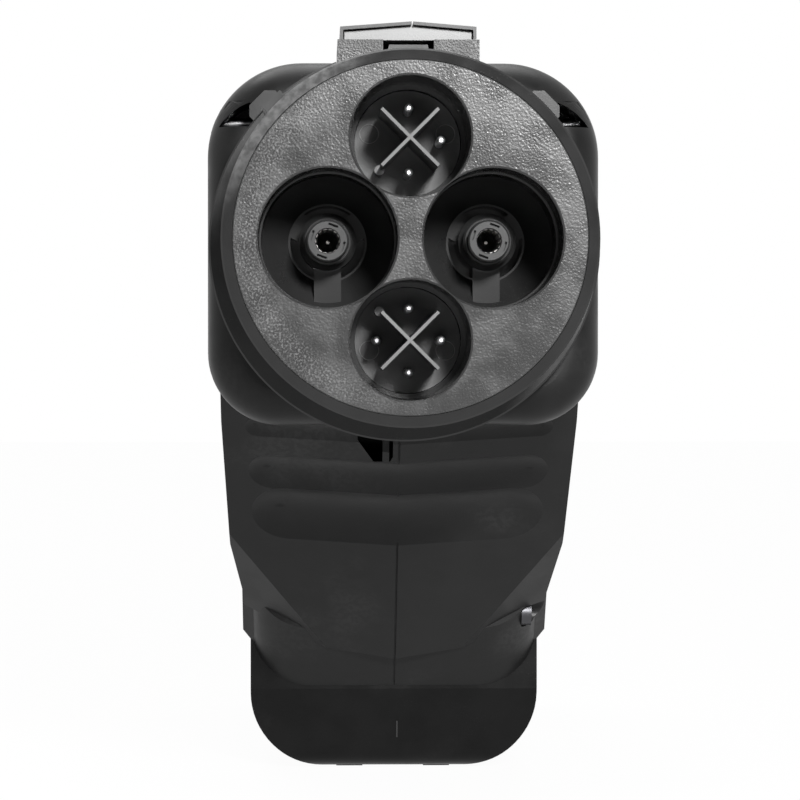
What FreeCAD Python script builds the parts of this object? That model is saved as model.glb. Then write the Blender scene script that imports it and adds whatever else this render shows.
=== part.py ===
import FreeCAD, Part

import math
import os
from types import SimpleNamespace

import Sketcher
from FreeCAD import Placement, Rotation, Vector

# A charging adapter: a round direct-current plug in front and a combo inlet behind.
# Lengths are millimetres. The origin is the centre of the plug's face, +Y runs along the
# plug's axis into the adapter, +X to the right of someone facing the plug, and +Z up.

doc = FreeCAD.newDocument("charging_adapter")

PLUG = {
    "face_radius": 32.8,
    "barrel_radius": 35.0,
    "bevel_depth": 1.5,
    "nose_length": 3.4,
    "barrel_relief": 0.4,
    "barrel_length": 48.0,
    "collar_radius": 38.7,
    "collar_thickness": 5.0,
    "spigot_radius": 34.0,
    "spigot_length": 12.0,
    "spigot_bore": 30.0,
    "spigot_lug_half_width": 8.0,
    "block_length": 50.0,
    "key_width": 4.6,
    "key_height": 1.4,
    "collar_lug_radius": 41.2,
    "collar_lug_half_width": 3.6,
    "collar_lug_corner": 1.5,
    "collar_nick_width": 1.2,
    "collar_nick_depth": 1.2,
    "fit_gap": 0.1,
    "edge_chamfer": 0.35,
}

CUPS = {
    "power_offset": 15.26,
    "power_cup_radius": 12.9,
    "power_cup_depth": 29.0,
    "power_step": 0.3,
    "power_step_depth": 17.0,
    "power_funnel_depth": 5.0,
    "power_floor_radius": 7.6,
    "power_boss_radius": 4.75,
    "power_boss_front": 22.5,
    "vent_inner_radius": 5.5,
    "vent_outer_radius": 7.2,
    "vent_web_width": 5.2,
    "vent_depth": 12.0,
    "signal_offset": 18.8,
    "signal_cup_radius": 11.15,
    "signal_cup_depth": 23.5,
    "insert_radius": 10.1,
    "insert_front": 26.7,
    "insert_thickness": 4.3,
    "insert_mark_radius": 1.8,
    "insert_mark_depth": 0.25,
    "insert_mark_offset": 7.3,
    "insert_ring_radius": 7.0,
    "insert_ring_width": 0.25,
    "barrier_span": 14.9,
    "barrier_thickness": 0.6,
    "barrier_front": 4.0,
    "nub_radius": 0.95,
    "nub_height": 9.0,
}

CONTACTS = {
    "tip_radius": 3.95,
    "tip_front": 17.8,
    "tip_length": 6.5,
    "tip_slot_length": 1.9,
    "tip_slot_width": 0.42,
    "tip_slot_depth": 1.2,
    "tube_radius": 3.3,
    "tube_bore": 2.3,
    "tube_bore_depth": 25.0,
    "tube_step": 0.9,
    "tube_end": 66.0,
    "pin_radius": 0.85,
    "pin_shank_radius": 0.65,
    "pin_root_gap": 0.3,
    "pin_circle": 6.05,
    "pin_front": 14.4,
    "pin_end": 50.0,
}

LATCH = {
    "guard_half_width": 13.4,
    "guard_top": 37.9,
    "guard_front": 17.0,
    "guard_seat": 34.2,
    "channel_half_width": 4.8,
    "channel_floor": 31.4,
    "hood_half_width": 12.9,
    "hood_eave": 40.5,
    "hood_peak": 41.5,
    "hood_wall": 0.6,
    "hood_front": 19.0,
    "hood_rear": 74.0,
    "slit_offset": 0.8,
    "slit_width": 0.3,
    "claw_half_width": 4.1,
    "claw_top": 37.0,
    "claw_thickness": 1.7,
    "claw_front": 18.0,
    "claw_hook_length": 6.0,
    "claw_end": 50.0,
    "claw_room": 0.5,
    "claw_nose_narrowing": 0.75,
    "latch_pin_radius": 1.0,
    "latch_pin_y": 44.0,
    "latch_pin_half_length": 11.0,
    "running_gap": 0.05,
    "slider_setback": 1.5,
    "slider_side_gap": 0.25,
    "slider_plate": 1.6,
    "slider_lift": 0.15,
    "slider_depth": 1.5,
    "slider_rear": 114.0,
    "pad_front": 82.0,
    "pad_half_width": 10.5,
    "pad_height": 7.2,
    "pad_edge": 2.2,
    "pad_rib_pitch": 3.2,
    "pad_rib_depth": 0.9,
    "pad_ribs": 7,
    "spring_radius": 1.7,
    "spring_wire": 0.4,
    "spring_turns": 4,
    "spring_sides": 8,
    "spring_gap": 0.05,
    "spring_y": 32.0,
}

SHELLS = {
    "wall": 3.0,
    "head_half_width": 39.2,
    "head_top": 36.9,
    "head_bottom": 35.7,
    "head_top_corner": 19.0,
    "head_bottom_corner": 14.5,
    "head_edge_round": 7.0,
    "shell_end": 150.0,
    "seam_width": 0.44,
    "seam_depth": 0.45,
    "grip_front": 90.0,
    "grip_slope": 0.93,
    "grip_half_width": 37.6,
    "grip_waist_half_width": 36.4,
    "grip_waist_drop": 63.0,
    "grip_low_half_width": 33.8,
    "grip_low_drop": 75.0,
    "plan_rake": 0.10,
    "side_rise": 0.06,
    "belt_front": 140.4,
    "belt_lap": 3.0,
    "belt_slope": 1.109,
    "belt_drop": 86.1,
    "belt_flat": 18.5,
    "belt_corner_x": 31.7,
    "belt_corner_rise": 9.7,
    "belt_corner_round": 13.5,
    "belt_half_width": 34.2,
    "belt_side_drop": 70.0,
    "facet_x": 12.7,
    "facet_drop": 86.4,
    "facet_out": 0.395,
    "facet_forward": 0.537,
    "facet_down": 0.746,
    "first_flute_drop": 38.7,
    "first_flute_width": 5.2,
    "first_flute_depth": 0.8,
    "second_flute_drop": 42.6,
    "second_flute_width": 5.5,
    "second_flute_depth": 0.8,
    "third_flute_drop": 48.2,
    "third_flute_width": 9.8,
    "third_flute_depth": 1.2,
    "lip_flute_drop": 57.35,
    "lip_flute_width": 15.2,
    "lip_flute_depth": 1.9,
    "flute_reach": 33.0,
    "passage_half_width": 27.0,
    "passage_top": 26.0,
    "passage_drop": 80.0,
    "strap_inner_x": 29.4,
    "strap_low": 23.8,
    "strap_high": 29.0,
    "strap_rim": 0.6,
    "strap_wall": 2.0,
    "strap_depth": 18.0,
    "strap_bar_radius": 1.1,
    "strap_bar_setback": 14.0,
    "strap_bar_seat": 0.9,
    "strap_bar_height": 25.2,
    "lanyard_left": 8.8,
    "lanyard_right": 1.3,
    "lanyard_shoulder": 39.6,
    "lanyard_bottom": 44.3,
    "lanyard_floor_left": 5.4,
    "lanyard_floor_right": 1.9,
    "lanyard_post_x": 3.5,
    "lanyard_post_width": 1.4,
    "lanyard_post_setback": 6.5,
}

SCREWS = {
    "screw_radius": 1.5,
    "screw_head_radius": 2.9,
    "screw_head_height": 2.2,
    "head_gap": 0.4,
    "screw_socket_radius": 1.4,
    "screw_socket_depth": 1.3,
    "screw_boss_radius": 4.6,
    "screw_seat_x": 28.4,
    "screw_end_x": 16.0,
    "screw_low_y": 141.0,
    "screw_low_drop": 79.5,
    "screw_mid_y": 122.0,
    "screw_mid_drop": 40.0,
    "screw_high_y": 138.0,
    "screw_high_z": 24.0,
    "screw_nose_y": 70.0,
    "screw_nose_drop": 22.0,
}

TAIL = {
    "total_length": 305.0,
    "base_drop": 116.0,
    "tail_top": 31.0,
    "tail_half_width": 35.5,
    "tail_low_half_width": 32.5,
    "tail_waist_drop": 30.0,
    "tail_knee_drop": 75.0,
    "tail_top_corner": 16.0,
    "tail_low_corner": 17.5,
    "tail_nose_drop": 97.5,
    "tail_nose_y": 156.5,
    "tail_nose_round": 6.0,
    "tail_grip_depth": 1.2,
    "tail_grip_width": 5.0,
    "tail_grip_pitch": 10.0,
    "tail_grip_count": 5,
    "tail_grip_start": 172.0,
    "mouth_wall": 2.5,
    "ledge_wall": 3.8,
    "mouth_depth": 7.0,
    "ledge_depth": 4.0,
    "rail_reach": 6.0,
    "rail_height": 3.0,
    "cell_rib_height": 8.0,
    "cell_rib_thickness": 2.0,
    "strip_front": 163.0,
    "strip_rear_gap": 9.0,
    "strip_offset": 10.0,
    "strip_half_width": 3.0,
    "strip_seat": 1.0,
    "strip_proud": 0.5,
}

INLET = {
    "plate_thickness": 4.0,
    "plate_setback": 2.0,
    "seal_thickness": 1.0,
    "round_drop": 45.0,
    "round_recess_radius": 28.0,
    "round_block_radius": 22.3,
    "round_flat": 17.5,
    "round_recess_flat": 23.0,
    "power_row_drop": 86.0,
    "inlet_power_offset": 13.5,
    "slot_recess_radius": 13.4,
    "sleeve_radius": 10.2,
    "sleeve_bore": 7.4,
    "inlet_wall": 1.6,
    "recess_depth": 36.0,
    "inlet_back_wall": 9.0,
    "inlet_pin_radius": 4.0,
    "inlet_pin_setback": 8.0,
    "inlet_pin_tail": 8.0,
    "inlet_pin_step": 0.4,
    "earth_pin_radius": 3.0,
    "earth_hole_radius": 5.2,
    "pilot_pin_radius": 1.5,
    "pilot_hole_radius": 3.4,
    "pilot_x": 8.0,
    "pilot_rise": 10.6,
    "phase_hole_radius": 5.0,
    "phase_hole_depth": 20.0,
    "phase_side_x": 14.6,
    "phase_side_drop": 2.4,
    "phase_low_x": 8.0,
    "phase_low_drop": 14.4,
    "plate_screw_high_x": 27.0,
    "plate_screw_high_z": 20.0,
    "plate_screw_low_x": 27.0,
    "plate_screw_low_drop": 68.0,
    "plate_screw_end_drop": 108.6,
    "plate_screw_length": 12.0,
}

INSIDE = {
    "bar_thickness": 3.0,
    "bar_height": 12.0,
    "bar_turn_y": 160.0,
    "board_half_width": 29.0,
    "board_rear_gap": 17.0,
    "board_length": 92.0,
    "board_thickness": 1.6,
    "board_height": 20.0,
    "cell_radius": 9.2,
    "cell_length": 65.0,
    "cell_rear_gap": 5.0,
    "seat_gap": 0.2,
    "control_height": 13.0,
    "button_radius": 5.6,
    "button_gap": 0.15,
    "button_proud": 1.6,
    "button_flange": 1.4,
    "button_flange_thickness": 1.2,
    "button_travel": 1.0,
    "lens_x": 13.0,
    "lens_radius": 1.8,
    "port_x": 14.5,
    "port_half_width": 6.0,
    "port_half_height": 3.6,
    "port_lip": 1.0,
    "port_thickness": 1.0,
    "port_proud": 0.4,
    "port_plug_depth": 2.5,
}

DIMENSIONS = {**PLUG, **CUPS, **CONTACTS, **LATCH, **SHELLS, **SCREWS, **TAIL, **INLET, **INSIDE}

sheet = doc.addObject("Spreadsheet::Sheet", "dims")
for row, (alias, value) in enumerate(DIMENSIONS.items(), start=1):
    sheet.set(f"A{row}", alias)
    sheet.set(f"B{row}", str(value))
    sheet.setAlias(f"B{row}", alias)
doc.recompute()


class Size:
    """A length with both its number and the sheet expression that gives it."""

    def __init__(self, value, text):
        self.value = value
        self.text = text

    def __add__(self, other):
        other = as_size(other)
        return Size(self.value + other.value, f"({self.text} + {other.text})")

    def __sub__(self, other):
        other = as_size(other)
        return Size(self.value - other.value, f"({self.text} - {other.text})")

    def __mul__(self, other):
        other = as_size(other)
        return Size(self.value * other.value, f"({self.text} * {other.text})")

    def __truediv__(self, other):
        other = as_size(other)
        return Size(self.value / other.value, f"({self.text} / {other.text})")

    def __neg__(self):
        return Size(-self.value, f"(-{self.text})")

    def root(self):
        return Size(math.sqrt(self.value), f"sqrt({self.text})")

    __radd__ = __add__
    __rmul__ = __mul__

    def __rsub__(self, other):
        return as_size(other) - self


def as_size(number):
    """Turns a plain number into a Size, and leaves a Size alone."""
    if isinstance(number, Size):
        return number
    return Size(float(number), repr(float(number)))


d = SimpleNamespace(**{alias: Size(float(value), f"dims.{alias}") for alias, value in DIMENSIONS.items()})
ZERO = as_size(0)


def bind(item, prop, size):
    """Ties one property of an object to the sheet."""
    item.setExpression(prop, as_size(size).text)


def place(item, x=ZERO, y=ZERO, z=ZERO, turn=Rotation()):
    """Turns an object, then ties its position to the sheet."""
    item.Placement = Placement(Vector(as_size(x).value, as_size(y).value, as_size(z).value), turn)
    for axis, size in (("x", x), ("y", y), ("z", z)):
        bind(item, f"Placement.Base.{axis}", size)
    return item


def arc_between(start, end, radius, side):
    """Arc from start to end, its centre left of the way for side 1 and right of it for side -1."""
    middle = (start + end) / 2
    half = (end - start).Length / 2
    along = (end - start).normalize()
    offset = side * math.sqrt(max(radius * radius - half * half, 0))
    centre = middle + Vector(-along.y, along.x, 0) * offset
    first, last = (start, end) if side > 0 else (end, start)
    turn_in = math.atan2(first.y - centre.y, first.x - centre.x)
    turn_out = math.atan2(last.y - centre.y, last.x - centre.x)
    return Part.ArcOfCircle(Part.Circle(centre, Vector(0, 0, 1), radius), turn_in, turn_out)


def draw(sketch, outline):
    """Draws a closed outline. A point is (u, v), or (u, v, radius, side) where an arc starts at it."""
    points = [(as_size(p[0]), as_size(p[1])) for p in outline]
    flat = [Vector(u.value, v.value, 0) for u, v in points]
    ends = []
    for i, point in enumerate(outline):
        start, end = flat[i], flat[(i + 1) % len(flat)]
        if len(point) == 2:
            sketch.addGeometry(Part.LineSegment(start, end), False)
            ends.append((1, 2))
            continue
        radius, side = as_size(point[2]), point[3]
        sketch.addGeometry(arc_between(start, end, radius.value, side), False)
        ends.append((1, 2) if side > 0 else (2, 1))
        rule = sketch.addConstraint(Sketcher.Constraint("Radius", i, radius.value))
        sketch.setExpression(f"Constraints[{rule}]", radius.text)
    for i in range(len(outline)):
        after = (i + 1) % len(outline)
        sketch.addConstraint(Sketcher.Constraint("Coincident", i, ends[i][1], after, ends[after][0]))
    for i, (u, v) in enumerate(points):
        for kind, size in (("DistanceX", u), ("DistanceY", v)):
            rule = sketch.addConstraint(Sketcher.Constraint(kind, -1, 1, i, ends[i][0], size.value))
            sketch.setExpression(f"Constraints[{rule}]", size.text)


def sketched_body(name, plane, outline, offset):
    """A body with one closed sketch on an origin plane, offset along the plane's normal."""
    body = doc.addObject("PartDesign::Body", name)
    sketch = body.newObject("Sketcher::SketchObject", f"{name}_sketch")
    support = [item for item in body.Origin.OriginFeatures if item.Role == plane][0]
    sketch.AttachmentSupport = [(support, "")]
    sketch.MapMode = "FlatFace"
    bind(sketch, "AttachmentOffset.Base.z", offset)
    draw(sketch, outline)
    return body, sketch


def turned(name, outline, x=ZERO, z=ZERO):
    """A piece turned about an axis along Y, from an outline of (radius, y) points."""
    body, sketch = sketched_body(name, "XY_Plane", outline, ZERO)
    feature = body.newObject("PartDesign::Revolution", f"{name}_turn")
    feature.Profile = sketch
    feature.ReferenceAxis = (sketch, ["V_Axis"])
    feature.Angle = 360
    return place(body, x=x, z=z)


def moulded(name, outline, start, end):
    """A prism along Y between start and end, from an outline of (x, z) points."""
    start, end = as_size(start), as_size(end)
    body, sketch = sketched_body(name, "XZ_Plane", outline, -start)
    feature = body.newObject("PartDesign::Pad", f"{name}_pad")
    feature.Profile = sketch
    feature.Reversed = True
    bind(feature, "Length", end - start)
    return body


def sideways(name, outline, start, end, rake=None):
    """A prism along X between start and end, from an outline of (y, z) points, raked if asked."""
    start, end = as_size(start), as_size(end)
    body, sketch = sketched_body(name, "YZ_Plane", outline, start)
    feature = body.newObject("PartDesign::Pad", f"{name}_pad")
    feature.Profile = sketch
    bind(feature, "Length", end - start)
    if rake:
        feature.UseCustomVector = True
        feature.Direction = Vector(1, rake[0].value, rake[1].value)
        bind(feature, "Direction.y", rake[0])
        bind(feature, "Direction.z", rake[1])
    return body


def block(name, x, y, z, turn=0, centre=(ZERO, ZERO)):
    """A box from its lowest and highest x, y and z, turned in degrees about a line along Y."""
    box = doc.addObject("Part::Box", name)
    for prop, (low, high) in (("Length", x), ("Width", y), ("Height", z)):
        bind(box, prop, as_size(high) - low)
    cosine = math.cos(math.radians(turn))
    sine = math.sin(math.radians(turn))
    base_x = centre[0] + as_size(x[0]) * cosine + as_size(z[0]) * sine
    base_z = centre[1] + as_size(z[0]) * cosine - as_size(x[0]) * sine
    return place(box, x=base_x, y=y[0], z=base_z, turn=Rotation(Vector(0, 1, 0), turn))


ALONG_Y = Rotation(Vector(1, 0, 0), -90)
ALONG_X = Rotation(Vector(0, 1, 0), 90)


def rod(name, radius, start, end, x=ZERO, z=ZERO):
    """A cylinder along Y between start and end."""
    cylinder = doc.addObject("Part::Cylinder", name)
    bind(cylinder, "Radius", radius)
    bind(cylinder, "Height", as_size(end) - start)
    return place(cylinder, x=x, y=start, z=z, turn=ALONG_Y)


def cross_rod(name, radius, start, end, y, z):
    """A cylinder along X between start and end."""
    cylinder = doc.addObject("Part::Cylinder", name)
    bind(cylinder, "Radius", radius)
    bind(cylinder, "Height", as_size(end) - start)
    return place(cylinder, x=start, y=y, z=z, turn=ALONG_X)


def joined(name, *pieces):
    """Several solids that become one."""
    item = doc.addObject("Part::MultiFuse", name)
    item.Shapes = list(pieces)
    return item


def cut(name, base, *tools):
    """A solid with one or more others taken away."""
    item = doc.addObject("Part::Cut", name)
    item.Base = base
    item.Tool = tools[0] if len(tools) == 1 else joined(f"{name}_tools", *tools)
    return item


def shared(name, *pieces):
    """What several solids have in common."""
    item = doc.addObject("Part::MultiCommon", name)
    item.Shapes = list(pieces)
    return item


def mirrored(name, source):
    """The same solid on the other side of the middle plane."""
    item = doc.addObject("Part::Mirroring", name)
    item.Source = source
    item.Normal = Vector(1, 0, 0)
    return item


def grouped(name, *pieces):
    """Like pieces that stay separate solids."""
    item = doc.addObject("Part::Compound", name)
    item.Links = list(pieces)
    return item


def rounded(body, radius, wanted):
    """Rounds those edges of a body's last feature for which wanted(edge) is true."""
    doc.recompute()
    base = body.Tip
    names = [f"Edge{i}" for i, edge in enumerate(base.Shape.Edges, start=1) if wanted(edge)]
    fillet = body.newObject("PartDesign::Fillet", f"{body.Name}_round")
    fillet.Base = (base, names)
    bind(fillet, "Radius", radius)
    body.Tip = fillet
    return body


HEAD_FRONT = d.barrel_length + d.collar_thickness
FAR = as_size(200)
PIN_FIT = as_size(0.02)
SIDES = (("left", -1), ("right", 1))


# Barrel of the plug: one turned moulding with a bevelled front ring, a collar with two stops, a
# spigot with two lugs held behind the head's front wall, and two key ribs beside the latch.
KEY_TURN = 45
NICK_TURN = 205
barrel = turned("barrel", [
    (d.face_radius + d.fit_gap / 2, 0.15),
    (d.barrel_radius - d.edge_chamfer, d.bevel_depth - d.edge_chamfer),
    (d.barrel_radius, d.bevel_depth),
    (d.barrel_radius, d.nose_length),
    (d.barrel_radius - d.barrel_relief, d.nose_length + d.barrel_relief),
    (d.barrel_radius - d.barrel_relief, d.barrel_length),
    (d.collar_radius - d.edge_chamfer, d.barrel_length),
    (d.collar_radius, d.barrel_length + d.edge_chamfer),
    (d.collar_radius, HEAD_FRONT),
    (d.spigot_radius, HEAD_FRONT),
    (d.spigot_radius, HEAD_FRONT + d.spigot_length),
    (d.spigot_bore, HEAD_FRONT + d.spigot_length),
    (d.spigot_bore, d.block_length + d.seat_gap),
    (d.face_radius + d.fit_gap / 2, d.block_length + d.seat_gap),
])
keys = []
lugs = []
for side, sign in SIDES:
    keys.append(block(f"key_{side}", (-d.key_width / 2, d.key_width / 2),
                      (d.nose_length + d.barrel_relief, d.barrel_length + d.edge_chamfer),
                      (d.face_radius + 1, d.barrel_radius + d.key_height), turn=KEY_TURN * sign))
    half = d.collar_lug_half_width
    corner = d.collar_lug_corner
    stop = moulded(f"collar_lug_{side}", [
        (-half, d.spigot_radius),
        (half, d.spigot_radius),
        (half, d.collar_lug_radius - corner),
        (half - corner, d.collar_lug_radius),
        (corner - half, d.collar_lug_radius),
        (-half, d.collar_lug_radius - corner),
    ], d.barrel_length + d.edge_chamfer, HEAD_FRONT)
    lugs.append(place(stop, turn=Rotation(Vector(0, 1, 0), KEY_TURN * sign)))
    lugs.append(block(f"spigot_lug_{side}", (-d.spigot_lug_half_width, d.spigot_lug_half_width),
                      (HEAD_FRONT + d.head_edge_round + d.seat_gap, HEAD_FRONT + d.spigot_length),
                      (d.spigot_radius - 2, d.head_half_width - d.wall - d.seat_gap), turn=90 * sign))
barrel_bore = rod("barrel_bore", d.face_radius + d.fit_gap / 2, 0, d.block_length)
claw_channel = block("claw_channel", (-d.channel_half_width, d.channel_half_width),
                     (d.guard_front - 0.1, d.claw_end + d.claw_room), (d.channel_floor, FAR))
guard_room = block("guard_room", (-d.guard_half_width - d.fit_gap, d.guard_half_width + d.fit_gap),
                   (d.guard_front, HEAD_FRONT + 0.1), (d.guard_seat, FAR))
pin_hole = cross_rod("pin_hole", d.latch_pin_radius + PIN_FIT, -d.latch_pin_half_length,
                     d.latch_pin_half_length, d.latch_pin_y, d.claw_top - d.latch_pin_radius)
collar_nick = block("collar_nick", (-d.collar_nick_width / 2, d.collar_nick_width / 2),
                    (HEAD_FRONT - d.collar_nick_depth, HEAD_FRONT + 1),
                    (d.collar_radius - d.collar_nick_depth, d.collar_radius + 1), turn=NICK_TURN)
plug_sleeve = cut("plug_sleeve", joined("barrel_with_lugs", barrel, *keys, *lugs),
                  barrel_bore, claw_channel, guard_room, collar_nick)


# Latch guard: a saddle on the barrel with an ear on each side of the claw's channel.
guard_block = block("guard_block", (-d.guard_half_width, d.guard_half_width),
                    (d.guard_front, d.barrel_length), (d.channel_floor, d.guard_top))
barrel_surface = rod("barrel_surface", d.barrel_radius - d.barrel_relief + PIN_FIT, 0, HEAD_FRONT + 1)
guard_on_barrel = cut("guard_on_barrel", guard_block, barrel_surface)
guard_foot = block("guard_foot", (-d.guard_half_width, d.guard_half_width), (d.guard_front, HEAD_FRONT),
                   (d.guard_seat, d.guard_top))
latch_guard = cut("latch_guard", joined("guard_form", guard_on_barrel, guard_foot), claw_channel, pin_hole)


# Face block: one moulding with two power cups, two signal cups and a boss round each contact.
def power_cup(side, sign):
    """The room of one power cup, with its funnel floor and three vents, around the contact's boss.

    The lowest web between the vents stands up from the floor and runs out to the wall.
    """
    x = d.power_offset * sign
    wall_end = d.power_cup_depth
    floor = wall_end + d.power_funnel_depth
    room = turned(f"power_room_{side}", [
        (ZERO, -1.0),
        (d.power_cup_radius + d.edge_chamfer, -1.0),
        (d.power_cup_radius + d.edge_chamfer, ZERO),
        (d.power_cup_radius, d.edge_chamfer),
        (d.power_cup_radius, d.power_step_depth),
        (d.power_cup_radius - d.power_step, d.power_step_depth),
        (d.power_cup_radius - d.power_step, wall_end),
        (d.power_floor_radius, floor),
        (ZERO, floor),
    ], x=x)
    vent = cut(f"vent_ring_{side}",
               rod(f"vent_outer_{side}", d.vent_outer_radius, wall_end, floor + d.vent_depth, x=x),
               rod(f"vent_inner_{side}", d.vent_inner_radius, 0, floor + d.vent_depth + 1, x=x))
    webs = []
    for turn in (0, 120, 240):
        front = wall_end + 1.0 if turn == 0 else floor
        webs.append(block(f"web_{side}_{turn}", (-d.vent_web_width / 2, d.vent_web_width / 2),
                          (front, floor + d.vent_depth + 2), (-d.power_cup_radius, ZERO),
                          turn=turn, centre=(x, ZERO)))
    boss = turned(f"boss_{side}", [
        (ZERO, d.power_boss_front),
        (d.power_boss_radius - d.edge_chamfer, d.power_boss_front),
        (d.power_boss_radius, d.power_boss_front + d.edge_chamfer),
        (d.power_boss_radius, d.power_boss_front + 3.0),
        (d.vent_inner_radius, d.power_boss_front + 3.6),
        (d.vent_inner_radius, floor + d.vent_depth),
        (ZERO, floor + d.vent_depth),
    ], x=x)
    return cut(f"power_cup_{side}", joined(f"cup_and_vents_{side}", room, vent), boss, *webs)


def signal_cup(place_name, sign):
    """The room of one signal cup: a ledge, then the seat of its floor disc and a hole behind it."""
    z = d.signal_offset * sign
    seat = d.insert_front + d.insert_thickness
    return turned(f"signal_cup_{place_name}", [
        (ZERO, -1.0),
        (d.signal_cup_radius + d.edge_chamfer, -1.0),
        (d.signal_cup_radius + d.edge_chamfer, ZERO),
        (d.signal_cup_radius, d.edge_chamfer),
        (d.signal_cup_radius - 0.15, d.signal_cup_depth),
        (d.insert_radius + d.fit_gap, d.signal_cup_depth),
        (d.insert_radius + d.fit_gap, seat),
        (d.insert_radius - 1.5, seat),
        (d.insert_radius - 1.5, d.block_length + 1),
        (ZERO, d.block_length + 1),
    ], z=z)


face_disc = turned("face_disc", [
    (ZERO, ZERO),
    (d.face_radius - 0.25, ZERO),
    (d.face_radius, 0.25),
    (d.face_radius, d.block_length),
    (ZERO, d.block_length),
])
cup_tools = []
for side, sign in SIDES:
    cup_tools.append(power_cup(side, sign))
    cup_tools.append(turned(f"contact_seat_{side}", [
        (ZERO, ZERO),
        (d.tip_radius + d.fit_gap, ZERO),
        (d.tip_radius + d.fit_gap, d.tip_front + d.tip_length),
        (d.tube_radius + d.fit_gap, d.tip_front + d.tip_length),
        (d.tube_radius + d.fit_gap, d.block_length + 1),
        (ZERO, d.block_length + 1),
    ], x=d.power_offset * sign))
for place_name, sign in (("top", 1), ("bottom", -1)):
    cup_tools.append(signal_cup(place_name, sign))
contact_block = cut("contact_block", face_disc, *cup_tools, claw_channel)


# Floor disc of each signal cup, with its X-shaped barrier, two ejector marks and a nub.
def signal_insert(place_name, sign):
    """One floor disc. The nub stands at the arm end nearest the power cups' side."""
    z = d.signal_offset * sign
    disc = rod(f"insert_disc_{place_name}", d.insert_radius, d.insert_front,
               d.insert_front + d.insert_thickness, z=z)
    arms = []
    for turn in (45, -45):
        arms.append(block(f"arm_{place_name}_{turn + 45}", (-d.barrier_span / 2, d.barrier_span / 2),
                          (d.barrier_front, d.insert_front + 0.5),
                          (-d.barrier_thickness / 2, d.barrier_thickness / 2), turn=turn, centre=(ZERO, z)))
    reach = (d.barrier_span / 2 + 0.3) * math.sqrt(0.5)
    nub = rod(f"nub_{place_name}", d.nub_radius, d.insert_front - d.nub_height, d.insert_front + 0.5,
              x=-reach, z=z - reach * sign)
    marks = []
    for mark_side, mark_sign in SIDES:
        marks.append(rod(f"mark_{place_name}_{mark_side}", d.insert_mark_radius, d.insert_front - 1,
                         d.insert_front + d.insert_mark_depth,
                         x=d.insert_mark_offset * mark_sign, z=z + 1.9 * sign))
    ring_end = d.insert_front + d.insert_mark_depth
    marks.append(cut(f"ring_mark_{place_name}",
                     rod(f"ring_mark_outer_{place_name}", d.insert_ring_radius, d.insert_front,
                         ring_end, z=z),
                     rod(f"ring_mark_inner_{place_name}", d.insert_ring_radius - d.insert_ring_width,
                         d.insert_front - 1, ring_end + 1, z=z),
                     *arms, nub))
    holes = [rod(f"hole_{place_name}_{i}", d.pin_shank_radius + PIN_FIT, 0, d.block_length,
                 x=px, z=z + pz) for i, (px, pz) in enumerate(pin_places(sign))]
    return cut(f"signal_insert_{place_name}", joined(f"insert_form_{place_name}", disc, *arms, nub),
               *marks, *holes)


def pin_places(sign):
    """Where the pins stand round a cup's centre: the upper cup leaves its left place empty."""
    ring = d.pin_circle
    places = [(ZERO, ring), (ring, ZERO), (ZERO, -ring)]
    return places if sign > 0 else places + [(-ring, ZERO)]


def signal_pins(place_name, sign):
    """The round-ended contact pins of one signal cup, each on a thinner shank."""
    pins = []
    root = d.insert_front - d.pin_root_gap
    for i, (px, pz) in enumerate(pin_places(sign)):
        pins.append(turned(f"pin_{place_name}_{i}", [
            (ZERO, d.pin_front),
            (ZERO, d.pin_end),
            (d.pin_shank_radius, d.pin_end),
            (d.pin_shank_radius, root),
            (d.pin_radius, root),
            (d.pin_radius, d.pin_front + d.pin_radius * 0.7),
            (d.pin_radius * 0.8, d.pin_front + d.pin_radius * 0.2),
            (d.pin_radius * 0.4, d.pin_front),
        ], x=px, z=d.signal_offset * sign + pz))
    return grouped(f"signal_pins_{place_name}", *pins)


inserts = [signal_insert(place_name, sign) for place_name, sign in (("top", 1), ("bottom", -1))]
pin_sets = [signal_pins(place_name, sign) for place_name, sign in (("top", 1), ("bottom", -1))]


# Power contacts: a metal tube with a pointed bore, and a slotted insulating tip on its front.
def power_contact(side, sign):
    """One tube. Its tail reaches back to the busbar."""
    front = d.tip_front + d.tube_step
    return turned(f"power_contact_{side}", [
        (d.tube_bore, front),
        (d.tube_radius - 0.5, front),
        (d.tube_radius - 0.5, d.tip_front + d.tip_length),
        (d.tube_radius, d.tip_front + d.tip_length),
        (d.tube_radius, d.tube_end),
        (ZERO, d.tube_end),
        (ZERO, front + d.tube_bore_depth + d.tube_bore * 0.6),
        (d.tube_bore, front + d.tube_bore_depth),
    ], x=d.power_offset * sign)


def contact_tip(side, sign):
    """One insulating tip with four short slots in its front."""
    x = d.power_offset * sign
    inner = d.tube_radius - 0.45
    ring = turned(f"tip_ring_{side}", [
        (d.tube_bore, d.tip_front + 0.15),
        (d.tube_bore + 0.15, d.tip_front),
        (d.tip_radius - 0.3, d.tip_front),
        (d.tip_radius, d.tip_front + 0.3),
        (d.tip_radius, d.tip_front + d.tip_length),
        (inner, d.tip_front + d.tip_length),
        (inner, d.tip_front + d.tube_step - 0.05),
        (d.tube_bore, d.tip_front + d.tube_step - 0.05),
    ], x=x)
    slots = []
    middle = (d.tip_radius + d.tube_bore) / 2
    for turn in (70, 160, 250, 340):
        slots.append(block(f"slot_{side}_{turn}", (-d.tip_slot_length / 2, d.tip_slot_length / 2),
                           (d.tip_front - 1, d.tip_front + d.tip_slot_depth),
                           (middle - d.tip_slot_width / 2, middle + d.tip_slot_width / 2),
                           turn=90 - turn, centre=(x, ZERO)))
    return cut(f"contact_tip_{side}", ring, *slots)


tubes = [power_contact(side, sign) for side, sign in SIDES]
tips = [contact_tip(side, sign) for side, sign in SIDES]


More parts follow.
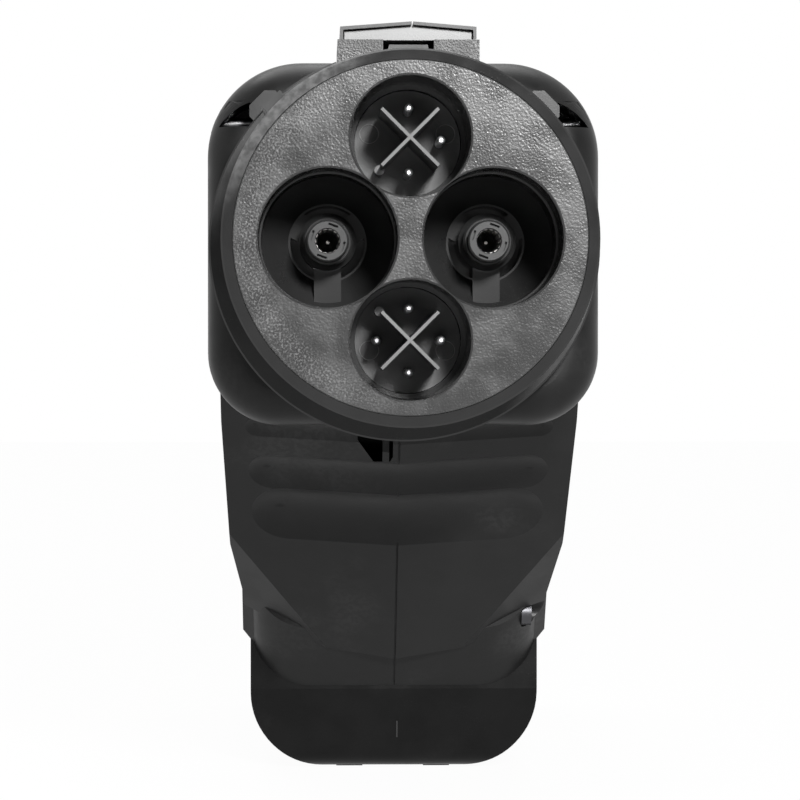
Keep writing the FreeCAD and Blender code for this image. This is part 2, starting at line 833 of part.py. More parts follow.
# Clamshell: head, grip and belt as one form, made twice more inset for its room and its seam.
def head_outline(inset):
    """Rounded square of the head, seen along Y."""
    w = d.head_half_width - inset
    t = d.head_top - inset
    b = d.head_bottom - inset
    top = d.head_top_corner - inset
    low = d.head_bottom_corner - inset
    return [
        (w, low - b),
        (w, t - top, top, 1),
        (w - top, t),
        (top - w, t, top, 1),
        (-w, t - top),
        (-w, low - b, low, 1),
        (low - w, -b),
        (w - low, -b, low, 1),
    ]


def slope_at(drop, inset):
    """Distance behind the plug's face of the sloping front, at a drop below the plug's axis."""
    stretch = (d.grip_slope * d.grip_slope + 1).root()
    return d.grip_front + (drop - d.head_bottom) * d.grip_slope + stretch * inset


def facet(name, inset):
    """The room outside the slanting facet that cuts the grip's lower corner, on the right."""
    out = Vector(d.facet_out.value, -d.facet_forward.value, -d.facet_down.value).normalize()
    corner = Vector(d.facet_x.value, slope_at(d.facet_drop, ZERO).value, -d.facet_drop.value)
    corner = corner - out * inset.value
    reach = 80
    turn = Rotation(Vector(0, 0, 1), out)
    tool = doc.addObject("Part::Box", name)
    tool.Length = tool.Width = 2 * reach
    tool.Height = reach
    tool.Placement = Placement(corner - turn.multVec(Vector(reach, reach, 0)), turn)
    return tool


def grip_part(name, inset, half_outline, start, end):
    """Right half of one stretch of the grip: its front view and its raked side view in common."""
    top = -d.head_bottom * 0.7
    low_drop = d.belt_drop + 20
    side_view = sideways(f"{name}_side", [
        (slope_at(-top, inset), top),
        (slope_at(low_drop, inset), -low_drop),
        (d.shell_end + 60, -low_drop),
        (d.shell_end + 60, top),
    ], ZERO, d.head_half_width + 5, rake=(d.plan_rake, d.side_rise))
    front_view = moulded(f"{name}_front", half_outline, start, end)
    return cut(name, shared(f"{name}_whole", side_view, front_view), facet(f"{name}_facet", inset))


# Finger flutes: scoops with round ends that follow the raked front, three small and one large.
flute_rows = (
    ("flute_first", d.first_flute_drop, d.first_flute_width, d.first_flute_depth),
    ("flute_second", d.second_flute_drop, d.second_flute_width, d.second_flute_depth),
    ("flute_third", d.third_flute_drop, d.third_flute_width, d.third_flute_depth),
    ("flute_lip", d.lip_flute_drop, d.lip_flute_width, d.lip_flute_depth),
)


def flute(name, drop, width, depth, inset):
    """One scoop on the right half, its radius set by its width and depth on the sloping front."""
    radius = width * width / (depth * 8) + depth / 2
    along = Vector(1, d.plan_rake.value, d.side_rise.value)
    outward = Vector(0, -1, -d.grip_slope.value).normalize()
    surface = Vector(0, slope_at(drop, ZERO).value, -drop.value)
    centre = surface + outward * (radius - depth).value
    length = (d.flute_reach - width / 2).value * along.Length
    scoop = doc.addObject("Part::Cylinder", f"{name}_run")
    bind(scoop, "Radius", radius + inset)
    scoop.Height = length
    scoop.Placement = Placement(centre, Rotation(Vector(0, 0, 1), along))
    end = doc.addObject("Part::Sphere", f"{name}_end")
    bind(end, "Radius", radius + inset)
    end.Placement = Placement(centre + along.normalize() * length, Rotation(Vector(0, 0, 1), outward))
    return [scoop, end]


def slanted_belt(name, inset, end):
    """The belt under the grip: a U that runs back and down from the grip's lip."""
    stretch = (d.belt_slope * d.belt_slope + 1).root()
    start = d.belt_front - d.belt_lap
    bottom = stretch * inset + d.belt_lap * d.belt_slope - d.belt_drop
    side = d.belt_half_width - inset
    corner_x = d.belt_corner_x - inset
    corner_z = bottom + d.belt_corner_rise - inset * 0.5
    belt = moulded(name, [
        (d.belt_flat, bottom, d.belt_corner_round - inset, 1),
        (corner_x, corner_z),
        (side, -d.belt_side_drop),
        (side, ZERO),
        (-side, ZERO),
        (-side, -d.belt_side_drop),
        (-corner_x, corner_z, d.belt_corner_round - inset, 1),
        (-d.belt_flat, bottom),
    ], start, end)
    pad = belt.Tip
    pad.UseCustomVector = True
    pad.Direction = Vector(0, -1, d.belt_slope.value)
    pad.AlongSketchNormal = True
    bind(pad, "Direction.z", d.belt_slope)
    return belt


def clamshell_form(name, inset, end, fluted=True):
    """Head, grip and belt, inset from the outer faces."""
    inset = as_size(inset)
    front = HEAD_FRONT + inset
    head = moulded(f"{name}_head", head_outline(inset), front, end)
    rounded(head, d.head_edge_round - inset, lambda edge: edge.BoundBox.YMax < front.value + 0.01)
    top = -d.head_bottom * 0.8
    waist = d.grip_waist_half_width - inset
    grip = grip_part(f"{name}_grip", inset, [
        (ZERO, top),
        (ZERO, -d.base_drop),
        (d.grip_low_half_width - inset, -d.base_drop),
        (d.grip_low_half_width - inset, -d.grip_low_drop),
        (waist, -d.grip_waist_drop),
        (d.grip_half_width - inset, -d.head_bottom),
        (d.grip_half_width - inset, top),
    ], d.grip_front - 40, d.belt_front)
    if fluted:
        scoops = [scoop for row in flute_rows for scoop in flute(f"{name}_{row[0]}", *row[1:], inset)]
        grip = cut(f"{name}_fluted_grip", grip, *scoops)
    belt = slanted_belt(f"{name}_belt", inset, end)
    return joined(name, head, grip, mirrored(f"{name}_grip_left", grip), belt)


outer_form = clamshell_form("outer_form", 0, d.shell_end)
inner_form = clamshell_form("inner_form", d.wall, d.shell_end - d.wall, fluted=False)
seam_form = clamshell_form("seam_form", d.seam_depth, d.shell_end + 1)


def strap_recess(side, sign):
    """A slot in the head's upper corner, open to the front, with a thin rim left outside it."""
    middle = (d.strap_low + d.strap_high) / 2
    radius = (d.strap_high - d.strap_low) / 2
    inner = d.strap_inner_x + radius
    span = (inner, FAR) if sign > 0 else (-FAR, -inner)
    front, rear = HEAD_FRONT - 1, HEAD_FRONT + d.strap_depth
    run = block(f"strap_run_{side}", span, (front, rear), (d.strap_low, d.strap_high))
    end = rod(f"strap_end_{side}", radius, front, rear, x=inner * sign, z=middle)
    limit = moulded(f"strap_limit_{side}", head_outline(d.strap_rim), front, rear)
    return shared(f"strap_recess_{side}", joined(f"strap_slot_{side}", run, end), limit)


def strap_boss(side, sign):
    """The walls round one strap slot, inside the head."""
    inner = d.strap_inner_x - d.strap_wall
    span = (inner, FAR) if sign > 0 else (-FAR, -inner)
    return block(f"strap_boss_{side}", span, (HEAD_FRONT, HEAD_FRONT + d.strap_depth + d.strap_wall),
                 (d.strap_low - d.strap_wall, d.strap_high + d.strap_wall))


def strap_rod(name, sign, radius):
    """A rod across one strap slot, its ends in the slot's walls."""
    inner = d.strap_inner_x - d.strap_bar_seat
    outer = d.head_half_width - d.strap_rim - d.strap_bar_seat
    low, high = (inner, outer) if sign > 0 else (-outer, -inner)
    return cross_rod(name, radius, low, high, HEAD_FRONT + d.strap_bar_setback, d.strap_bar_height)


SCREW_PLACES = (
    ("low", d.screw_low_y, -d.screw_low_drop),
    ("mid", d.screw_mid_y, -d.screw_mid_drop),
    ("high", d.screw_high_y, d.screw_high_z),
    ("nose", d.screw_nose_y, -d.screw_nose_drop),
)


def lanyard_slot():
    """A notch through the wall under the collar, with a post left standing in it for a cord."""
    top = d.wall - d.head_bottom
    opening = moulded("lanyard_opening", [
        (-d.lanyard_left, top),
        (-d.lanyard_left, -d.lanyard_shoulder),
        (-d.lanyard_floor_left, -d.lanyard_bottom),
        (-d.lanyard_floor_right, -d.lanyard_bottom),
        (-d.lanyard_right, 1 - d.lanyard_bottom),
        (-d.lanyard_right, top),
    ], d.grip_front - 12, d.grip_front + 14)
    post = block("lanyard_post", (-d.lanyard_post_x, d.lanyard_post_width - d.lanyard_post_x),
                 (d.grip_front + d.lanyard_post_setback, FAR), (-FAR, 0))
    return cut("lanyard_slot", opening, post)


def shell(side, sign):
    """One half of the clamshell with its bosses, recesses, openings and half of the seam."""
    low, high = (ZERO, FAR) if sign > 0 else (-FAR, ZERO)
    half = block(f"half_{side}", (low, high), (0, FAR), (-FAR, FAR))
    bosses = [strap_boss(side, sign)]
    for name, y, z in SCREW_PLACES:
        bosses.append(cross_rod(f"screw_boss_{name}_{side}", d.screw_boss_radius, low / 4, high / 4, y, z))
    kept_bosses = shared(f"bosses_{side}", joined(f"boss_set_{side}", *bosses), outer_form)
    walls = cut(f"walls_{side}", outer_form, inner_form)
    solid = shared(f"solid_{side}", joined(f"filled_{side}", walls, kept_bosses), half)
    spigot_hole = rod(f"spigot_hole_{side}", d.spigot_radius + d.fit_gap, HEAD_FRONT - 1,
                      HEAD_FRONT + d.spigot_length + 2)
    passage = block(f"passage_{side}", (-d.passage_half_width, d.passage_half_width),
                    (d.shell_end - d.wall - 1, d.shell_end + 1), (-d.passage_drop, d.passage_top))
    seam = cut(f"seam_{side}", block(f"seam_slab_{side}", (-d.seam_width / 2, d.seam_width / 2), (60, FAR),
                                     (-FAR, -d.head_bottom + d.wall)), seam_form)
    tools = [spigot_hole, passage, seam, strap_recess(side, sign),
             strap_rod(f"strap_hole_{side}", sign, d.strap_bar_radius + PIN_FIT)]
    for name, y, z in SCREW_PLACES:
        tools.append(cross_rod(f"screw_hole_{name}_{side}", d.screw_radius + d.running_gap,
                               -d.screw_end_x, d.screw_seat_x, y, z))
        if sign > 0:
            tools.append(cross_rod(f"counterbore_{name}", d.screw_head_radius + d.head_gap,
                                   d.screw_seat_x, FAR, y, z))
    if sign < 0:
        tools.append(lanyard_slot())
    return cut(f"{side}_shell", solid, *tools)


shells = [shell(side, sign) for side, sign in SIDES]


# A steel bar across each strap slot, for a carrying strap.
strap_bars = [strap_rod(f"strap_bar_{side}", sign, d.strap_bar_radius) for side, sign in SIDES]


def shell_screw(name, y, z):
    """One pan-head screw along X with a round socket."""
    head = cross_rod(f"screw_head_{name}", d.screw_head_radius, d.screw_seat_x,
                     d.screw_seat_x + d.screw_head_height, y, z)
    shank = cross_rod(f"screw_shank_{name}", d.screw_radius, -d.screw_end_x, d.screw_seat_x, y, z)
    socket = cross_rod(f"screw_socket_{name}", d.screw_socket_radius,
                       d.screw_seat_x + d.screw_head_height - d.screw_socket_depth,
                       d.screw_seat_x + d.screw_head_height + 1, y, z)
    return cut(f"screw_{name}", joined(f"screw_form_{name}", head, shank), socket)


shell_screws = grouped("shell_screws", *[shell_screw(name, y, z) for name, y, z in SCREW_PLACES])


# Latch: a thin hood in two halves on the ears, a claw on its pin, and the release slider.
def hood_outline(inset, foot):
    """The hood's section, with a roof that peaks at the slit."""
    w = d.hood_half_width - inset
    return [
        (-w, foot),
        (w, foot),
        (w, d.hood_eave - inset),
        (d.slit_offset, d.hood_peak - inset),
        (-w, d.hood_eave - inset),
    ]


hood_front_part = moulded("hood_front_part", hood_outline(ZERO, d.guard_top), d.hood_front, d.hood_rear)
hood_feet = moulded("hood_feet", hood_outline(ZERO, d.collar_radius - 6), HEAD_FRONT, d.hood_rear)
hood_room = moulded("hood_room", hood_outline(d.hood_wall, d.collar_radius - 7),
                    d.hood_front - 1, d.hood_rear + 1)
hood_slit = block("hood_slit", (d.slit_offset - d.slit_width / 2, d.slit_offset + d.slit_width / 2),
                  (0, FAR), (0, FAR))
hood_form = joined("hood_form", hood_front_part, hood_feet)
hood_walls = cut("hood_walls", hood_form, hood_room, hood_slit, outer_form)
left_of_slit = block("left_of_slit", (-FAR, d.slit_offset), (0, FAR), (0, FAR))
right_of_slit = block("right_of_slit", (d.slit_offset, FAR), (0, FAR), (0, FAR))
hood_left = shared("hood_left", hood_walls, left_of_slit)
hood_right = shared("hood_right", hood_walls, right_of_slit)

claw_low = d.claw_top - d.claw_thickness
claw_side = sideways("claw_side", [
    (d.claw_front, claw_low),
    (d.claw_end, claw_low),
    (d.claw_end, d.claw_top),
    (d.latch_pin_y - 3, d.claw_top),
    (d.claw_front + d.claw_hook_length + 2, d.claw_top - 0.5),
    (d.claw_front + d.claw_hook_length, d.claw_top),
    (d.claw_front, d.claw_top),
], -d.claw_half_width, d.claw_half_width)
claw_trapezoid = moulded("claw_trapezoid", [
    (-d.claw_half_width, claw_low - 1),
    (d.claw_half_width, claw_low - 1),
    (d.claw_half_width, claw_low),
    (d.claw_half_width - d.claw_nose_narrowing, d.claw_top + 1),
    (d.claw_nose_narrowing - d.claw_half_width, d.claw_top + 1),
    (-d.claw_half_width, claw_low),
], 0, d.claw_end + 10)
claw_hub = cross_rod("claw_hub", d.latch_pin_radius + 1.2, -d.claw_half_width, d.claw_half_width,
                     d.latch_pin_y, d.claw_top - d.latch_pin_radius)
claw_bore = cross_rod("claw_bore", d.latch_pin_radius + d.running_gap, -d.guard_half_width,
                      d.guard_half_width, d.latch_pin_y, d.claw_top - d.latch_pin_radius)
claw_blade = shared("claw_blade", claw_side, claw_trapezoid)
claw_cap = block("claw_cap", (-d.guard_half_width, d.guard_half_width), (0, FAR), (d.claw_top + 0.3, FAR))
latch_claw = cut("latch_claw", joined("claw_form", claw_blade, claw_hub), claw_bore, claw_cap)
latch_pin = cross_rod("latch_pin", d.latch_pin_radius, -d.latch_pin_half_length, d.latch_pin_half_length,
                      d.latch_pin_y, d.claw_top - d.latch_pin_radius)

slider_half = d.hood_half_width - d.hood_wall - d.slider_side_gap
slider_inset = d.hood_wall + d.slider_side_gap
slider_front = d.hood_front + d.slider_setback
rest_height = d.head_top + d.slider_lift
slider_plate = moulded("slider_plate_form", hood_outline(slider_inset, d.guard_top + d.slider_lift),
                       slider_front, slider_front + d.slider_plate)
slider_tongue = block("slider_tongue", (-slider_half, slider_half), (slider_front, d.hood_rear + 6),
                      (d.guard_top + d.slider_lift, d.guard_top + d.slider_lift + d.slider_depth))
slider_deck = block("slider_deck", (-slider_half, slider_half), (d.hood_rear - 12, d.slider_rear),
                    (rest_height, d.guard_top + d.slider_lift + d.slider_depth))
pad_top = d.head_top + d.pad_height
thumb_pad = sideways("thumb_pad", [
    (d.pad_front, rest_height),
    (d.slider_rear, rest_height),
    (d.slider_rear, d.guard_top + d.slider_lift + d.slider_depth),
    (d.slider_rear - d.pad_edge, pad_top),
    (d.pad_front + d.pad_edge * 2, pad_top - 1.2),
    (d.pad_front, d.guard_top + d.slider_lift + d.slider_depth),
], -d.pad_half_width, d.pad_half_width)
pad_grooves = []
for i in range(int(d.pad_ribs.value)):
    y = d.pad_front + d.pad_edge * 2 + d.pad_rib_pitch * (i + 0.6)
    pad_grooves.append(cross_rod(f"pad_groove_{i}", d.pad_rib_depth, -d.pad_half_width - 1,
                                 d.pad_half_width + 1, y, pad_top - 0.3))
slider_form = joined("slider_form", slider_plate, slider_tongue, slider_deck, thumb_pad)
release_slider = cut("release_slider", slider_form, *pad_grooves)


# Claw spring: a short coil standing in the channel under the claw.
spring_low = d.channel_floor + d.spring_wire / 2 + d.spring_gap
spring_high = claw_low - d.spring_wire / 2 - d.spring_gap
spring_path = doc.addObject("Part::Helix", "spring_path")
bind(spring_path, "Radius", d.spring_radius)
bind(spring_path, "Height", spring_high - spring_low)
bind(spring_path, "Pitch", (spring_high - spring_low) / d.spring_turns)
spring_ring = doc.addObject("Part::RegularPolygon", "spring_ring")
spring_ring.Polygon = int(d.spring_sides.value)
bind(spring_ring, "Circumradius", d.spring_wire / 2)
place(spring_ring, x=d.spring_radius, turn=Rotation(Vector(1, 0, 0), 90))
claw_spring = doc.addObject("Part::Sweep", "claw_spring")
claw_spring.Sections = [spring_ring]
claw_spring.Spine = (spring_path, [])
claw_spring.Solid = True
claw_spring.Frenet = True
place(claw_spring, y=d.spring_y, z=spring_low)


# Rear housing: one moulding with a U-shaped bottom, a sloping nose and an open mouth behind.
def tail_outline(inset):
    """Section of the rear housing, seen along Y."""
    inset = as_size(inset)
    w = d.tail_half_width - inset
    low_w = d.tail_low_half_width - inset
    t = d.tail_top - inset
    b = d.base_drop - inset
    top = d.tail_top_corner - inset
    low = d.tail_low_corner - inset
    return [
        (low_w, low - b),
        (low_w, -d.tail_knee_drop),
        (w, -d.tail_waist_drop),
        (w, t - top, top, 1),
        (w - top, t),
        (top - w, t, top, 1),
        (-w, t - top),
        (-w, -d.tail_waist_drop),
        (-low_w, -d.tail_knee_drop),
        (-low_w, low - b, low, 1),
        (low - low_w, -b),
        (low_w - low, -b, low, 1),
    ]


def tail_form(name, inset, end):
    """The housing's form: its section and its side view with the sloping nose in common."""
    inset = as_size(inset)
    run = moulded(f"{name}_run", tail_outline(inset), d.shell_end + inset, end)
    side_view = sideways(f"{name}_side", [
        (d.shell_end, d.tail_top + 1),
        (d.shell_end, -d.tail_nose_drop),
        (d.tail_nose_y + inset, inset - d.base_drop),
        (end, inset - d.base_drop),
        (end, d.tail_top + 1),
    ], -d.tail_half_width - 1, d.tail_half_width + 1)
    rounded(side_view, d.tail_nose_round - inset,
            lambda edge: abs(edge.BoundBox.ZMax - (inset - d.base_drop).value) < 0.01
            and edge.BoundBox.YMax < (end - 1).value)
    return shared(name, run, side_view)


tail_outer = tail_form("tail_outer", 0, d.total_length)
tail_room = tail_form("tail_room", d.wall, d.total_length - d.mouth_depth - d.ledge_depth)
mouth_front = d.total_length - d.mouth_depth
tail_mouth = moulded("tail_mouth", tail_outline(d.mouth_wall), mouth_front, d.total_length + 1)
tail_ledge = moulded("tail_ledge", tail_outline(d.ledge_wall), mouth_front - d.ledge_depth - 1,
                     mouth_front + 1)
tail_passage = block("tail_passage", (-d.passage_half_width, d.passage_half_width),
                     (d.shell_end - 1, d.shell_end + d.wall + 1), (-d.passage_drop, d.passage_top))
grip_slots = []
for i in range(int(d.tail_grip_count.value)):
    y = d.tail_grip_start + d.tail_grip_pitch * i
    for side, sign in SIDES:
        near = d.tail_half_width - d.tail_grip_depth
        span = (near, FAR) if sign > 0 else (-FAR, -near)
        grip_slots.append(block(f"grip_slot_{side}_{i}", span, (y, y + d.tail_grip_width),
                                (-d.tail_waist_drop + 2, d.tail_top - d.tail_top_corner)))
board_front = d.total_length - d.plate_setback - d.plate_thickness - d.board_rear_gap - d.board_length
inlet_front = d.total_length - d.plate_setback - d.recess_depth - d.inlet_back_wall
cell_front = inlet_front - d.cell_rear_gap - d.cell_length
rails = []
ribs = []
for side, sign in SIDES:
    inner = d.board_half_width - d.rail_reach / 2
    span = (inner, d.tail_half_width - 1) if sign > 0 else (1 - d.tail_half_width, -inner)
    rails.append(block(f"rail_{side}", span, (board_front - 4, board_front + d.board_length + 4),
                       (d.board_height - d.seat_gap - d.rail_height, d.board_height - d.seat_gap)))
    near = d.cell_radius + d.seat_gap
    span = (near, near + d.cell_rib_thickness) if sign > 0 else (-near - d.cell_rib_thickness, -near)
    ribs.append(block(f"cell_rib_{side}", span, (cell_front, cell_front + d.cell_length),
                      (1 - d.base_drop, d.wall + d.cell_rib_height - d.base_drop)))


def strip_block(name, sign, gap):
    """The room of one anti-slip strip in the flat bottom, with a gap all round."""
    half = d.strip_half_width + gap
    middle = d.strip_offset * sign
    return block(name, (middle - half, middle + half),
                 (d.strip_front - gap, d.total_length - d.strip_rear_gap + gap),
                 (-d.base_drop - d.strip_proud, d.strip_seat - d.base_drop))


base_strips = grouped("base_strips", *[strip_block(f"strip_{side}", sign, ZERO) for side, sign in SIDES])
strip_grooves = [strip_block(f"strip_groove_{side}", sign, d.fit_gap) for side, sign in SIDES]
tail_walls = cut("tail_walls", tail_outer, tail_room)
tail_with_rails = joined("tail_with_rails", tail_walls, *rails, *ribs)


# Inlet body: a plate in the housing's mouth with a round recess above and a wide one below.
plate_rear = d.total_length - d.plate_setback
plate_front = plate_rear - d.plate_thickness
round_z = -d.round_drop
row_z = -d.power_row_drop
recess_end = plate_rear - d.recess_depth
shroud_front = inlet_front


def wide_outline(radius):
    """Stadium round the two power holes, from an arc of the given radius at each end."""
    return [
        (-d.inlet_power_offset, row_z - radius),
        (d.inlet_power_offset, row_z - radius, radius, 1),
        (d.inlet_power_offset + radius, row_z, radius, 1),
        (d.inlet_power_offset, row_z + radius),
        (-d.inlet_power_offset, row_z + radius, radius, 1),
        (-d.inlet_power_offset - radius, row_z, radius, 1),
    ]


def flat_topped_rod(name, radius, flat, start, end):
    """A cylinder round the upper contacts with a flat on its top."""
    return cut(name, rod(f"{name}_round", radius, start, end, z=round_z),
               block(f"{name}_flat", (-FAR, FAR), (0, total_far), (round_z + flat, FAR)))


total_far = d.total_length + 50
plate = moulded("plate", tail_outline(d.mouth_wall + d.fit_gap), plate_front, plate_rear)
round_shroud = rod("round_shroud", d.round_recess_radius + d.inlet_wall, shroud_front, plate_rear - 1,
                   z=round_z)
wide_shroud = moulded("wide_shroud", wide_outline(d.slot_recess_radius + d.inlet_wall),
                      shroud_front, plate_rear - 1)
plate_and_shroud = joined("plate_and_shroud", plate, round_shroud, wide_shroud)
round_recess = flat_topped_rod("round_recess", d.round_recess_radius, d.round_recess_flat,
                               recess_end, total_far)
wide_recess = moulded("wide_recess", wide_outline(d.slot_recess_radius), recess_end, total_far)
hollow_inlet = cut("hollow_inlet", plate_and_shroud, round_recess, wide_recess)
sleeves = [rod(f"sleeve_{side}", d.sleeve_radius, recess_end, plate_rear - 3,
               x=d.inlet_power_offset * sign, z=row_z) for side, sign in SIDES]
round_block = flat_topped_rod("round_block", d.round_block_radius, d.round_flat, recess_end, plate_rear - 3)
island = joined("island", round_block, *sleeves)
contact_holes = []
for side, sign in SIDES:
    x = d.inlet_power_offset * sign
    contact_holes.append(rod(f"sleeve_bore_{side}", d.sleeve_bore, recess_end, total_far, x=x, z=row_z))
    contact_holes.append(rod(f"tail_hole_{side}", d.inlet_pin_radius - d.inlet_pin_step + PIN_FIT,
                             200, total_far, x=x, z=row_z))
    contact_holes.append(rod(f"pilot_hole_{side}", d.pilot_hole_radius, recess_end, total_far,
                             x=d.pilot_x * sign, z=round_z + d.pilot_rise))
    contact_holes.append(rod(f"pilot_tail_hole_{side}", d.pilot_pin_radius - d.inlet_pin_step + PIN_FIT,
                             200, total_far, x=d.pilot_x * sign, z=round_z + d.pilot_rise))
    contact_holes.append(rod(f"phase_side_{side}", d.phase_hole_radius, plate_rear - d.phase_hole_depth,
                             total_far, x=d.phase_side_x * sign, z=round_z - d.phase_side_drop))
    contact_holes.append(rod(f"phase_low_{side}", d.phase_hole_radius, plate_rear - d.phase_hole_depth,
                             total_far, x=d.phase_low_x * sign, z=round_z - d.phase_low_drop))
contact_holes.append(rod("earth_hole", d.earth_hole_radius, recess_end, total_far, z=round_z))
contact_holes.append(rod("earth_tail_hole", d.earth_pin_radius - d.inlet_pin_step + PIN_FIT,
                         200, total_far, z=round_z))

PLATE_SCREWS = (
    ("high_left", -d.plate_screw_high_x, d.plate_screw_high_z),
    ("high_right", d.plate_screw_high_x, d.plate_screw_high_z),
    ("low_left", -d.plate_screw_low_x, -d.plate_screw_low_drop),
    ("low_right", d.plate_screw_low_x, -d.plate_screw_low_drop),
    ("end", ZERO, -d.plate_screw_end_drop),
)
screw_seat = plate_rear - d.screw_head_height
screw_tip = screw_seat - d.plate_screw_length
plate_holes = []
ledge_posts = []
ledge_holes = []
for name, x, z in PLATE_SCREWS:
    plate_holes.append(rod(f"plate_counterbore_{name}", d.screw_head_radius + d.head_gap, screw_seat,
                           total_far, x=x, z=z))
    plate_holes.append(rod(f"plate_hole_{name}", d.screw_radius + d.running_gap, 200, total_far, x=x, z=z))
    ledge_posts.append(rod(f"ledge_post_{name}", d.screw_boss_radius, mouth_front - d.ledge_depth * 3,
                           mouth_front, x=x, z=z))
    ledge_holes.append(rod(f"ledge_hole_{name}", d.screw_radius + PIN_FIT, screw_tip - 1, total_far, x=x, z=z))

# Rear controls: a push button, a lens and the rubber cover of the service port.
control_z = d.control_height
button_hole = rod("button_hole", d.button_radius + d.button_gap, 200, total_far, z=control_z)
lens_hole = rod("lens_hole", d.lens_radius + PIN_FIT, 200, total_far, x=d.lens_x, z=control_z)


def port_block(name, trim, start, end):
    """A box on the service port, its faces trimmed back from the cover's edge."""
    half_width = d.port_half_width - trim
    half_height = d.port_half_height - trim
    return block(name, (-d.port_x - half_width, half_width - d.port_x), (start, end),
                 (control_z - half_height, control_z + half_height))


port_seat_front = plate_rear - d.port_thickness
port_hole = port_block("port_hole", d.port_lip, 200, total_far)
port_seat = port_block("port_seat", -d.fit_gap, port_seat_front, total_far)
inlet_form = joined("inlet_form", hollow_inlet, island)
inlet_body = cut("inlet_body", inlet_form, *contact_holes, *plate_holes, button_hole, lens_hole,
                 port_hole, port_seat)
power_button = turned("power_button", [
    (ZERO, plate_front - d.button_flange_thickness - d.button_travel),
    (d.button_radius - 1.5, plate_front - d.button_flange_thickness - d.button_travel),
    (d.button_radius - 1.5, plate_front - d.button_flange_thickness - 0.1),
    (d.button_radius + d.button_flange, plate_front - d.button_flange_thickness - 0.1),
    (d.button_radius + d.button_flange, plate_front - 0.1),
    (d.button_radius, plate_front - 0.1),
    (d.button_radius, plate_rear + d.button_proud - 0.6),
    (d.button_radius - 0.6, plate_rear + d.button_proud),
    (ZERO, plate_rear + d.button_proud),
], z=control_z)
status_lens = turned("status_lens", [
    (ZERO, plate_front - 3),
    (d.lens_radius, plate_front - 3),
    (d.lens_radius, plate_rear),
    (d.lens_radius - 0.5, plate_rear + 0.5),
    (ZERO, plate_rear + 0.5),
], x=d.lens_x, z=control_z)
port_flap = port_block("port_flap", 0, port_seat_front, plate_rear + d.port_proud)
port_plug = port_block("port_plug", d.port_lip + d.fit_gap, port_seat_front - d.port_plug_depth,
                       port_seat_front + 0.1)
port_cover = joined("port_cover", port_flap, port_plug)

kept_posts = shared("kept_posts", joined("post_set", *ledge_posts), tail_outer)
opened_tail = cut("opened_tail", tail_with_rails, tail_ledge, tail_passage)
rear_housing = cut("rear_housing", joined("tail_with_posts", opened_tail, kept_posts),
                   tail_mouth, *grip_slots, *ledge_holes, *strip_grooves)
inlet_seal = cut("inlet_seal",
                 moulded("seal_outer", tail_outline(d.mouth_wall + d.fit_gap), mouth_front,
                         mouth_front + d.seal_thickness),
                 moulded("seal_inner", tail_outline(d.ledge_wall - 0.4), mouth_front - 1,
                         mouth_front + d.seal_thickness + 1))


def plate_screw(name, x, z):
    """One pan-head screw of the inlet plate."""
    head = rod(f"plate_screw_head_{name}", d.screw_head_radius, screw_seat, plate_rear, x=x, z=z)
    shank = rod(f"plate_screw_shank_{name}", d.screw_radius, screw_tip, screw_seat, x=x, z=z)
    socket = rod(f"plate_screw_socket_{name}", d.screw_socket_radius, plate_rear - d.screw_socket_depth,
                 total_far, x=x, z=z)
    return cut(f"plate_screw_{name}", joined(f"plate_screw_form_{name}", head, shank), socket)


inlet_screws = grouped("inlet_screws", *[plate_screw(name, x, z) for name, x, z in PLATE_SCREWS])


def inlet_pin(name, radius, x, z):
    """One round-ended contact pin of the inlet, its thinner tail behind the inlet's back wall."""
    front = shroud_front - d.inlet_pin_tail
    tip = plate_rear - d.inlet_pin_setback
    root = recess_end + d.pin_root_gap
    return turned(name, [
        (ZERO, front),
        (radius - d.inlet_pin_step, front),
        (radius - d.inlet_pin_step, root),
        (radius, root),
        (radius, tip - radius * 0.4),
        (radius * 0.6, tip),
        (ZERO, tip),
    ], x=x, z=z)


inlet_power_pins = grouped("inlet_power_pins", *[
    inlet_pin(f"inlet_power_pin_{side}", d.inlet_pin_radius, d.inlet_power_offset * sign, row_z)
    for side, sign in SIDES])
inlet_signal_pins = grouped("inlet_signal_pins", *[
    inlet_pin(f"inlet_signal_pin_{side}", d.pilot_pin_radius, d.pilot_x * sign, round_z + d.pilot_rise)
    for side, sign in SIDES])
inlet_earth_pin = inlet_pin("inlet_earth_pin", d.earth_pin_radius, ZERO, round_z)


# Inside: a busbar on each side, the control board on its rails and the cell between its ribs.
def busbar(side, sign):
    """One copper bar from the plug's tube to the inlet's power pin."""
    half = d.bar_height / 2
    end = shroud_front - d.inlet_pin_tail
    middle = (d.power_offset + d.inlet_power_offset) / 2 * sign
    return sideways(f"busbar_{side}", [
        (d.tube_end, -half),
        (d.bar_turn_y, -half),
        (d.bar_turn_y, row_z - half),
        (end, row_z - half),
        (end, row_z + half),
        (d.bar_turn_y + d.bar_height, row_z + half),
        (d.bar_turn_y + d.bar_height, half),
        (d.tube_end, half),
    ], middle - d.bar_thickness / 2, middle + d.bar_thickness / 2)


busbars = [busbar(side, sign) for side, sign in SIDES]
control_board = block("control_board", (-d.board_half_width, d.board_half_width),
                      (board_front, board_front + d.board_length),
                      (d.board_height, d.board_height + d.board_thickness))
battery_cell = rod("battery_cell", d.cell_radius, cell_front, cell_front + d.cell_length,
                   z=d.wall + d.seat_gap + d.cell_radius - d.base_drop)

NODES = [
    plug_sleeve, latch_guard, contact_block, *inserts, *pin_sets, *tubes, *tips,
    hood_left, hood_right, latch_claw, latch_pin, release_slider, claw_spring,
    *shells, *strap_bars, shell_screws, rear_housing,
    base_strips, inlet_body, inlet_seal, inlet_screws, inlet_power_pins, inlet_signal_pins, inlet_earth_pin,
    power_button, status_lens, port_cover, *busbars, control_board, battery_cell,
]

